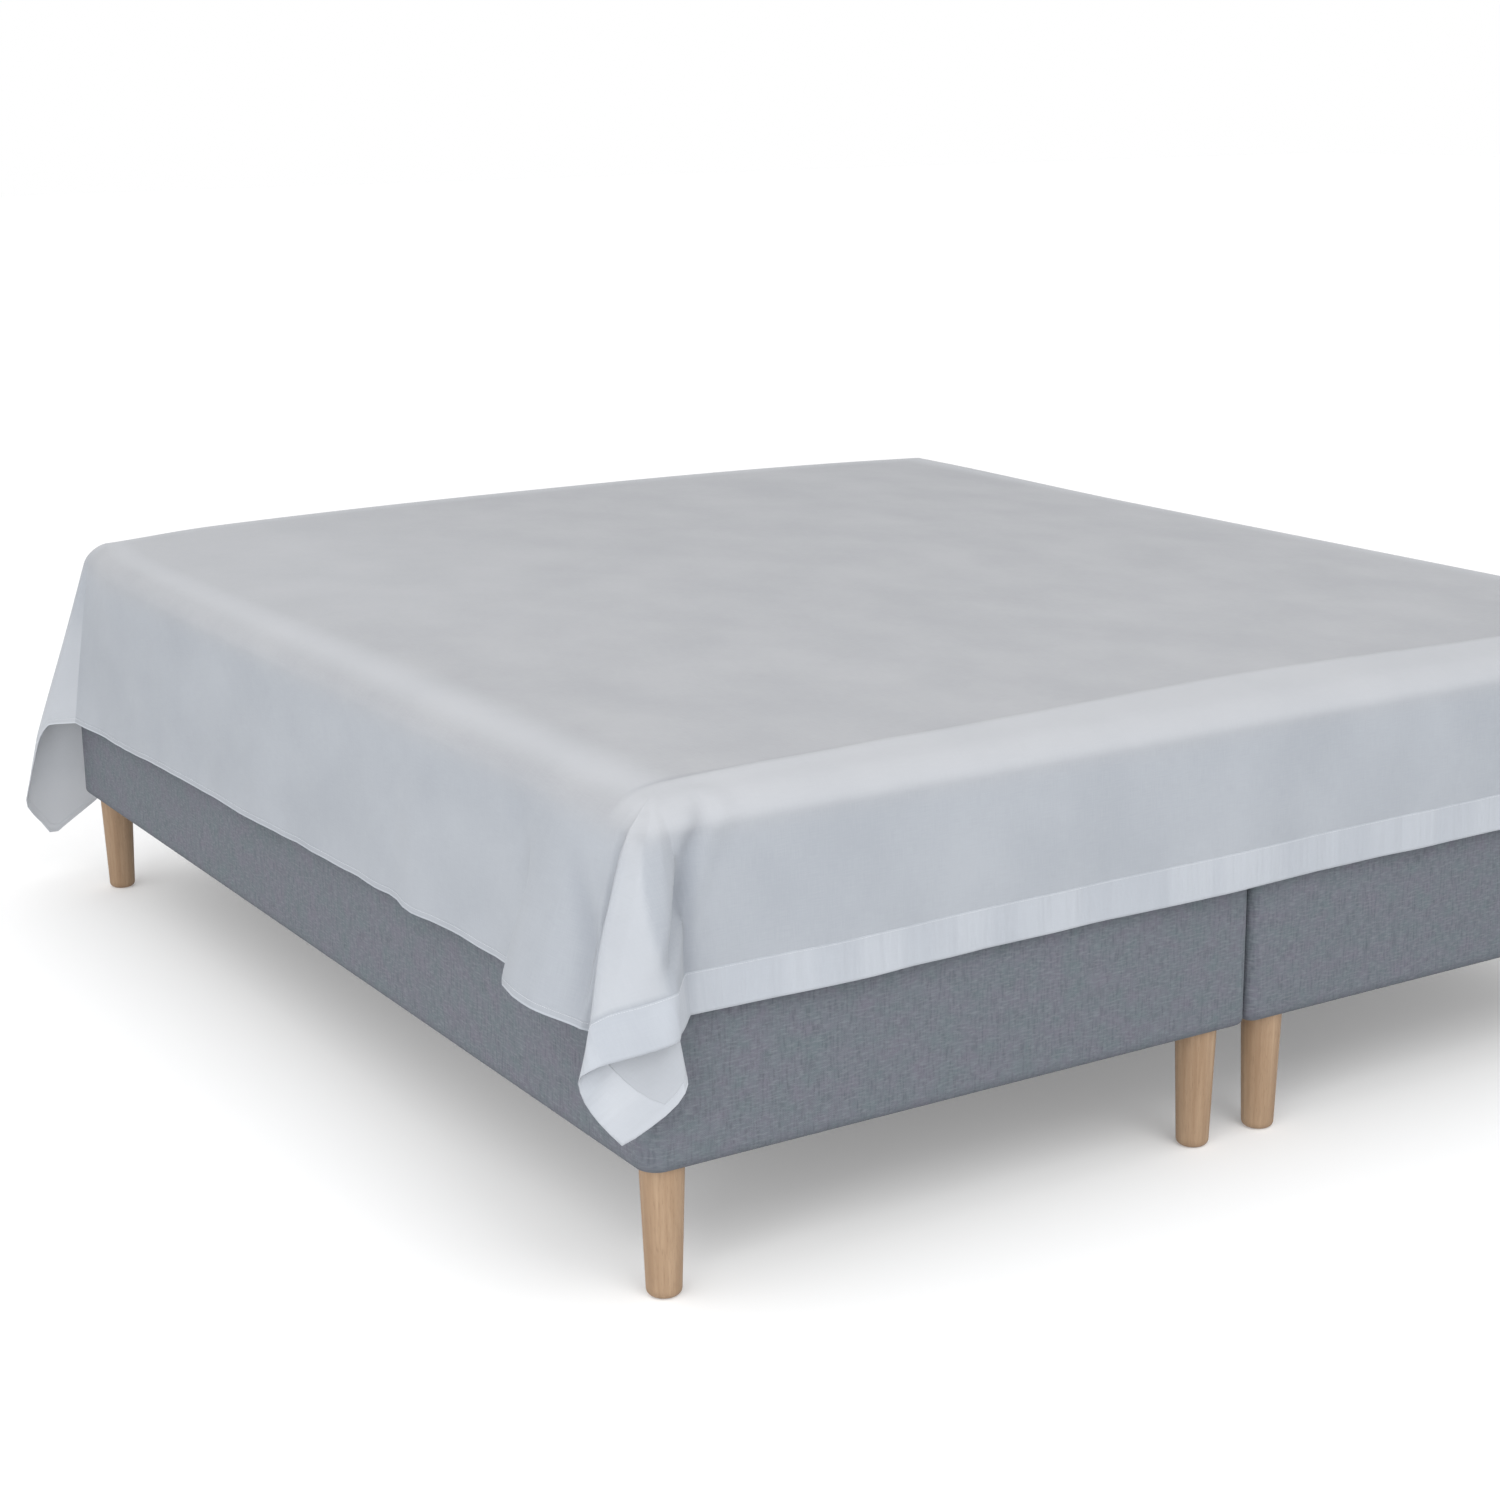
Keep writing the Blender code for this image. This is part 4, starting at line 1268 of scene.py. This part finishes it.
cover = tweed()
for base in bases:
    base.data.materials.append(cover)
print("both bases in", cover.name)

# %% [markdown]
# ## Under the bases
#
# Below, each base is closed with a black dust cover, stapled to the turned-in
# tweed every few centimetres. The legs' tops go through it. Staples on a
# straight edge are made by a tree of their own, from one bent wire.

# %% Dust covers
DUST_INSET = 0.028       # from the base's sides
DUST_THICK = 0.0007
DUST_CORNER = 0.012
DUST_SAG = 0.0012
DUST_TOP = BASE_Z - 0.0001


def dust_cover(name, side):
    """A thin closed panel under one base."""
    inner, outer = side * (BASE_SEAM / 2 + DUST_INSET), side * (BED_WIDTH / 2 - DUST_INSET)
    left, right = min(inner, outer), max(inner, outer)
    y = BED_LENGTH / 2 - DUST_INSET
    r = DUST_CORNER
    corners = [(left + r, r - y), (right - r, r - y), (right - r, y - r), (left + r, y - r)]
    shares = np.linspace(0, 1, 26)[1:-1]
    plan = ray_plan(corners, [r] * 4, shares, shares, np.linspace(0, 90, 5))
    profile = [(0.0, DUST_TOP), (0.0, DUST_TOP - DUST_THICK)]

    def sagging(points):
        moved = np.array(points, float)
        moved[:, 2] -= DUST_SAG * np.abs(soft_noise(moved, 0.16, 5))
        return moved

    return block(name, plan, profile, sagging)


dust_covers = [dust_cover("dust_cover_left", -1), dust_cover("dust_cover_right", 1)]

# %% Black spun cloth
def felted():
    """Black spun cloth."""
    made, tree, shader = new_material("black dust cover")
    place = object_place(tree)
    fibres = stretched_noise(tree, place, (420.0, 420.0, 420.0), detail=4.0)
    colour = blend_colours(tree, fibres, (0.012, 0.012, 0.013, 1.0), (0.045, 0.045, 0.048, 1.0))
    bump(tree, shader, fibres, 0.0005)
    fill(tree, shader, {"Base Color": colour, "Roughness": 0.95})
    return made


dust_cloth = felted()
for panel in dust_covers:
    panel.data.materials.append(dust_cloth)
print("dust covers in", dust_cloth.name)

# %% [markdown]
# A staple's crown is a straight wire whose ends bend up into the cloth. Shot
# from a gun in a hurry, no two lie quite the same way, so the tree turns each
# one by a small random angle.

# %% The tree that staples
def staple_tree():
    """Bent wires along a path on the underside."""
    tree, given = geometry_tree("stapling", {
        "Pitch": "Float", "Crown": "Float", "Wire": "Float", "Seed": "Int",
        "Steel": "Material"})
    curve = add_node(tree, "GeometryNodeMeshToCurve", {"Mesh": given["Geometry"]})
    points = add_node(tree, "GeometryNodeResampleCurve",
                      {"Curve": curve.outputs[0], "Length": given["Pitch"]}, mode="LENGTH")
    half = maths(tree, "MULTIPLY", given["Crown"], 0.5)
    far = add_node(tree, "ShaderNodeCombineXYZ", {"X": half}).outputs[0]
    near = add_node(tree, "ShaderNodeCombineXYZ",
                    {"X": maths(tree, "MULTIPLY", half, -1.0)}).outputs[0]
    crown = add_node(tree, "GeometryNodeCurvePrimitiveLine", {"Start": near, "End": far})
    bent = add_node(tree, "GeometryNodeResampleCurve", {"Curve": crown.outputs[0], "Count": 7})
    share = add_node(tree, "GeometryNodeSplineParameter").outputs["Factor"]
    middle = maths(tree, "SUBTRACT", maths(tree, "MULTIPLY", share, 2.0), 1.0)
    dip = maths(tree, "POWER", maths(tree, "ABSOLUTE", middle), 8.0)
    offset = add_node(tree, "ShaderNodeCombineXYZ",
                      {"Z": maths(tree, "MULTIPLY", dip, given["Wire"])}).outputs[0]
    pressed = add_node(tree, "GeometryNodeSetPosition",
                       {"Geometry": bent.outputs[0], "Offset": offset})
    section = add_node(tree, "GeometryNodeCurvePrimitiveCircle",
                       {"Resolution": 5, "Radius": maths(tree, "MULTIPLY", given["Wire"], 0.5)})
    wire = add_node(tree, "GeometryNodeCurveToMesh",
                    {"Curve": pressed.outputs[0], "Profile Curve": section.outputs[0],
                     "Fill Caps": True})
    along = add_node(tree, "FunctionNodeAlignRotationToVector",
                     {"Vector": add_node(tree, "GeometryNodeInputTangent").outputs[0]}, axis="X")
    slip = add_node(tree, "FunctionNodeRandomValue",
                    {2: -0.12, 3: 0.12, "Seed": given["Seed"]}, data_type="FLOAT").outputs[1]
    twist = add_node(tree, "ShaderNodeCombineXYZ", {"Z": slip}).outputs[0]
    turned = add_node(tree, "FunctionNodeRotateRotation",
                      {"Rotation": along.outputs[0], "Rotate By": twist})
    laid = add_node(tree, "GeometryNodeInstanceOnPoints",
                    {"Points": points.outputs[0], "Instance": wire.outputs[0],
                     "Rotation": turned.outputs[0]})
    finish_tree(tree, laid.outputs[0], given["Steel"])
    return tree


stapling = staple_tree()
print("the tree", stapling.name, "has", len(stapling.nodes), "nodes")

# %% Staple wire and staples
STAPLES_IN = 0.007       # from the dust cover's edge
STAPLES_BELOW = 0.0006   # and below it


def steel():
    """Bright staple wire."""
    made, tree, shader = new_material("staple wire")
    place = object_place(tree)
    drawn = stretched_noise(tree, place, (900.0, 900.0, 900.0))
    colour = blend_colours(tree, drawn, (0.42, 0.42, 0.43, 1.0), (0.62, 0.62, 0.63, 1.0))
    fill(tree, shader, {"Base Color": colour, "Metallic": 1.0, "Roughness": 0.35})
    return made


def staple_path():
    """A loop round each dust cover, just inside its edge."""
    points, edges = [], []
    for side in (-1, 1):
        inner = side * (BASE_SEAM / 2 + DUST_INSET + STAPLES_IN)
        outer = side * (BED_WIDTH / 2 - DUST_INSET - STAPLES_IN)
        y = BED_LENGTH / 2 - DUST_INSET - STAPLES_IN
        first = len(points)
        z = DUST_TOP - DUST_THICK - STAPLES_BELOW
        points += [(inner, -y, z), (outer, -y, z), (outer, y, z), (inner, y, z)]
        edges += [(first + i, first + (i + 1) % 4) for i in range(4)]
    mesh = bpy.data.meshes.new("staple path")
    mesh.from_pydata(points, edges, [])
    return show("staple path", mesh)


staples = run_tree("staples", staple_path(), stapling, {
    "Pitch": 0.055, "Crown": 0.0100, "Wire": 0.0009, "Seed": 7, "Steel": steel()})

# %% [markdown]
# ## The legs
#
# Each leg is turned on a lathe from a stick of oak: round, tapering to the
# foot, with the foot's edge eased so that it doesn't splinter. All eight are
# alike, so one tree shapes a cylinder by a rule, its radius for each height,
# and sets it at eight points, each turned another way, as legs that are
# screwed in by hand are.

# %% The tree that turns the legs
def leg_tree():
    """A tapered, eased leg at every point."""
    tree, given = geometry_tree("turned legs", {
        "Height": "Float", "Top Radius": "Float", "Foot Radius": "Float",
        "Eased Edge": "Float", "Seed": "Int", "Wood": "Material"})
    stick = add_node(tree, "GeometryNodeMeshCylinder",
                     {"Vertices": 48, "Side Segments": 44, "Radius": 1.0, "Depth": 1.0})
    place = add_node(tree, "GeometryNodeInputPosition").outputs[0]
    axes = add_node(tree, "ShaderNodeSeparateXYZ", {"Vector": place}).outputs
    share = maths(tree, "POWER", maths(tree, "ADD", axes[2], 0.5), 2.0)
    height = maths(tree, "MULTIPLY", share, given["Height"])
    taper = maths(tree, "ADD", given["Foot Radius"],
                  maths(tree, "MULTIPLY", share,
                        maths(tree, "SUBTRACT", given["Top Radius"], given["Foot Radius"])))
    low = maths(tree, "MAXIMUM", maths(tree, "SUBTRACT", 1.0,
                                       maths(tree, "DIVIDE", height, given["Eased Edge"])), 0.0)
    round_off = maths(tree, "SQRT", maths(tree, "SUBTRACT", 1.0,
                                          maths(tree, "MULTIPLY", low, low)))
    cut = maths(tree, "MULTIPLY", given["Eased Edge"],
                maths(tree, "SUBTRACT", 1.0, round_off))
    radius = maths(tree, "SUBTRACT", taper, cut)
    shaped = add_node(tree, "ShaderNodeCombineXYZ",
                      {"X": maths(tree, "MULTIPLY", axes[0], radius),
                       "Y": maths(tree, "MULTIPLY", axes[1], radius), "Z": height})
    leg = add_node(tree, "GeometryNodeSetPosition",
                   {"Geometry": stick.outputs[0], "Position": shaped.outputs[0]})
    turn = add_node(tree, "FunctionNodeRandomValue",
                    {2: 0.0, 3: 2 * pi, "Seed": given["Seed"]}, data_type="FLOAT").outputs[1]
    laid = add_node(tree, "GeometryNodeInstanceOnPoints",
                    {"Points": given["Geometry"], "Instance": leg.outputs[0],
                     "Rotation": add_node(tree, "ShaderNodeCombineXYZ", {"Z": turn}).outputs[0]})
    finish_tree(tree, laid.outputs[0], given["Wood"])
    return tree


turning = leg_tree()
print("the tree", turning.name, "has", len(turning.nodes), "nodes")

# %% [markdown]
# Oak grain runs up the leg. Long streaks come from noise that is stretched
# along the leg, fine dark pores from the same noise at a smaller scale, and a
# few broad bands where the lathe cut across the year rings. The foot is a
# touch darker towards the floor.

# %% Oiled oak
OAK_LIGHT = (0.392, 0.273, 0.176, 1.0)
OAK_DARK = (0.290, 0.188, 0.113, 1.0)
OAK_PORE = (0.164, 0.102, 0.058, 1.0)
DARK_FOOT = 0.012        # metres above the floor


def oak():
    """Pale oiled oak with its grain upright."""
    made, tree, shader = new_material("oiled oak")
    place = object_place(tree)
    axes = add_node(tree, "ShaderNodeSeparateXYZ", {"Vector": place}).outputs
    bands = stretched_noise(tree, place, (95.0, 95.0, 4.0), detail=3.0)
    streaks = stretched_noise(tree, place, (420.0, 420.0, 9.0), detail=3.0, roughness=0.6)
    pores = stretched_noise(tree, place, (1500.0, 1500.0, 55.0), detail=2.0)
    wood = blend_colours(tree, spread(tree, bands, 0.32, 0.68), OAK_LIGHT, OAK_DARK)
    streaky = maths(tree, "MULTIPLY", spread(tree, streaks, 0.42, 0.75), 0.6)
    streaked = blend_colours(tree, streaky, wood, OAK_DARK)
    open_pores = spread(tree, pores, 0.58, 0.74)
    pored = blend_colours(tree, maths(tree, "MULTIPLY", open_pores, 0.55), streaked, OAK_PORE)
    foot = add_node(tree, "ShaderNodeMapRange",
                    {"Value": axes[2], "From Min": 0.0, "From Max": DARK_FOOT,
                     "To Min": 0.35, "To Max": 0.0}).outputs[0]
    dull = add_node(tree, "ShaderNodeMapRange",
                    {"Value": streaks, "To Min": 0.48, "To Max": 0.66}).outputs[0]
    bump(tree, shader, maths(tree, "SUBTRACT", streaks, open_pores), 0.0002, 0.6)
    fill(tree, shader, {"Base Color": blend_colours(tree, foot, pored, OAK_PORE),
                        "Roughness": dull, "Specular IOR Level": 0.35})
    return made


oiled_oak = oak()
print("legs in", oiled_oak.name)

# %% Eight legs
ends = ((-1, LEG_INSET_FOOT), (1, LEG_INSET_HEAD))
spots = [(side * x, end * (BED_LENGTH / 2 - inset), 0.0)
         for side in (-1, 1) for x in (BED_WIDTH / 2 - LEG_INSET_OUTER, LEG_INSET_SEAM)
         for end, inset in ends]
leg_points = bpy.data.meshes.new("leg places")
leg_points.from_pydata(spots, [], [])
legs = run_tree("turned_legs", show("leg places", leg_points), turning, {
    "Height": LEG_HEIGHT - GAP, "Top Radius": LEG_TOP_RADIUS,
    "Foot Radius": LEG_FOOT_RADIUS, "Eased Edge": LEG_EDGE_RADIUS, "Seed": 11,
    "Wood": oiled_oak})
legs.data.shade_smooth()
legs.data.set_sharp_from_angle(angle=radians(50))

# %% [markdown]
# ## The pieces on the body
#
# Every piece rides on the model's one body and stands for the bare nodes that
# it covers, which are hidden.

# %% What rides on what
leg_nodes = [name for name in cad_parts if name.startswith("leg_")]
pieces = {
    sheet: (["sheet"], "cotton"), stitching: ([], "cotton"),
    topper: (["topper"], "ticking"),
    bases[0]: (["base_left"], "tweed"), bases[1]: (["base_right"], "tweed"),
    dust_covers[0]: ([], None), dust_covers[1]: ([], None), staples: ([], None),
    legs: (leg_nodes, "oak")}
for piece, (nodes, slot) in pieces.items():
    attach(piece, "root")
    if nodes:
        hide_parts(*nodes)
print(len(pieces), "pieces ride on the root")

# %% [markdown]
# ## Floor, light and camera
#
# The bed stands in a white studio: an even white world and a pale floor that
# glows a little, so that it stays white to the horizon. Four soft windows
# light it: a low one on the left for the side and the ear, a weak one in
# front for the shade under the hem, and two high ones for the top and the
# shoulders. The even world alone would be simpler, but it lights cloth the
# same whichever way it is turned, so the folds would hardly show.

# %% Floor
FLOOR = 30.0             # metres from the middle to its edge
WHITE = (1.0, 1.0, 1.0, 1.0)
FLOOR_GREY = (0.80, 0.80, 0.80, 1.0)
FLOOR_GLOW = 0.20
floor_mesh = bpy.data.meshes.new("studio_floor")
floor_mesh.from_pydata([(-FLOOR, -FLOOR, 0), (FLOOR, -FLOOR, 0), (FLOOR, FLOOR, 0),
                        (-FLOOR, FLOOR, 0)], [], [(0, 1, 2, 3)])
floor = show("studio_floor", floor_mesh)
paint, paint_tree, floor_shader = new_material("pale floor")
fill(paint_tree, floor_shader, {
    "Base Color": FLOOR_GREY, "Roughness": 0.9, "Specular IOR Level": 0.1,
    "Emission Color": WHITE, "Emission Strength": FLOOR_GLOW})
floor_mesh.materials.append(paint)
print("a floor of", 2 * FLOOR, "m")

# %% Light
world = bpy.data.worlds.new("white studio")
world.use_nodes = True
fill(world.node_tree, world.node_tree.nodes["Background"], {"Color": WHITE, "Strength": 1.0})
bpy.context.scene.world = world
bpy.context.scene.view_settings.view_transform = "Standard"


def window(name, place, aim, size, power):
    """A large soft area light."""
    data = bpy.data.lights.new(name, "AREA")
    data.shape = "RECTANGLE"
    data.size, data.size_y = size
    data.energy = power
    made = show(name, data)
    made.location = place
    made.rotation_euler = (Vector(aim) - Vector(place)).to_track_quat("-Z", "Y").to_euler()
    made.visible_camera = False


# name, place, what it faces, its width and height, and watts
WINDOWS = (("low window", (-4.7, -3.6, 1.7), (-0.4, -0.5, 0.45), (2.4, 1.8), 66.0),
           ("front window", (0.6, -6.0, 1.5), (0.0, -0.5, 0.4), (3.0, 2.2), 8.0),
           ("high window, foot", (-0.6, -4.8, 5.2), (-0.2, -0.2, 0.4), (3.0, 3.0), 88.0),
           ("high window, left", (-3.9, -0.4, 5.0), (-0.2, -0.2, 0.4), (3.0, 3.0), 35.0))
for row in WINDOWS:
    window(*row)
print(len(WINDOWS), "windows")

# %% Camera
CAMERA_PLACE = (-2.234, -3.390, 1.368)   # beyond the left foot corner
YAW, PITCH, ROLL = radians(31.71), radians(14.45), radians(-0.64)
LENS, SENSOR = 62.89, 36.0               # millimetres
camera_data = bpy.data.cameras.new("camera")
camera_data.lens, camera_data.sensor_width = LENS, SENSOR
camera = show("camera", camera_data)
camera.location = CAMERA_PLACE
camera.rotation_euler = (Matrix.Rotation(-YAW, 3, "Z") @ Matrix.Rotation(pi / 2 - PITCH, 3, "X")
                         @ Matrix.Rotation(ROLL, 3, "Z")).to_euler()
bpy.context.scene.camera = camera
print("the camera stands", CAMERA_PLACE[2], "m high")
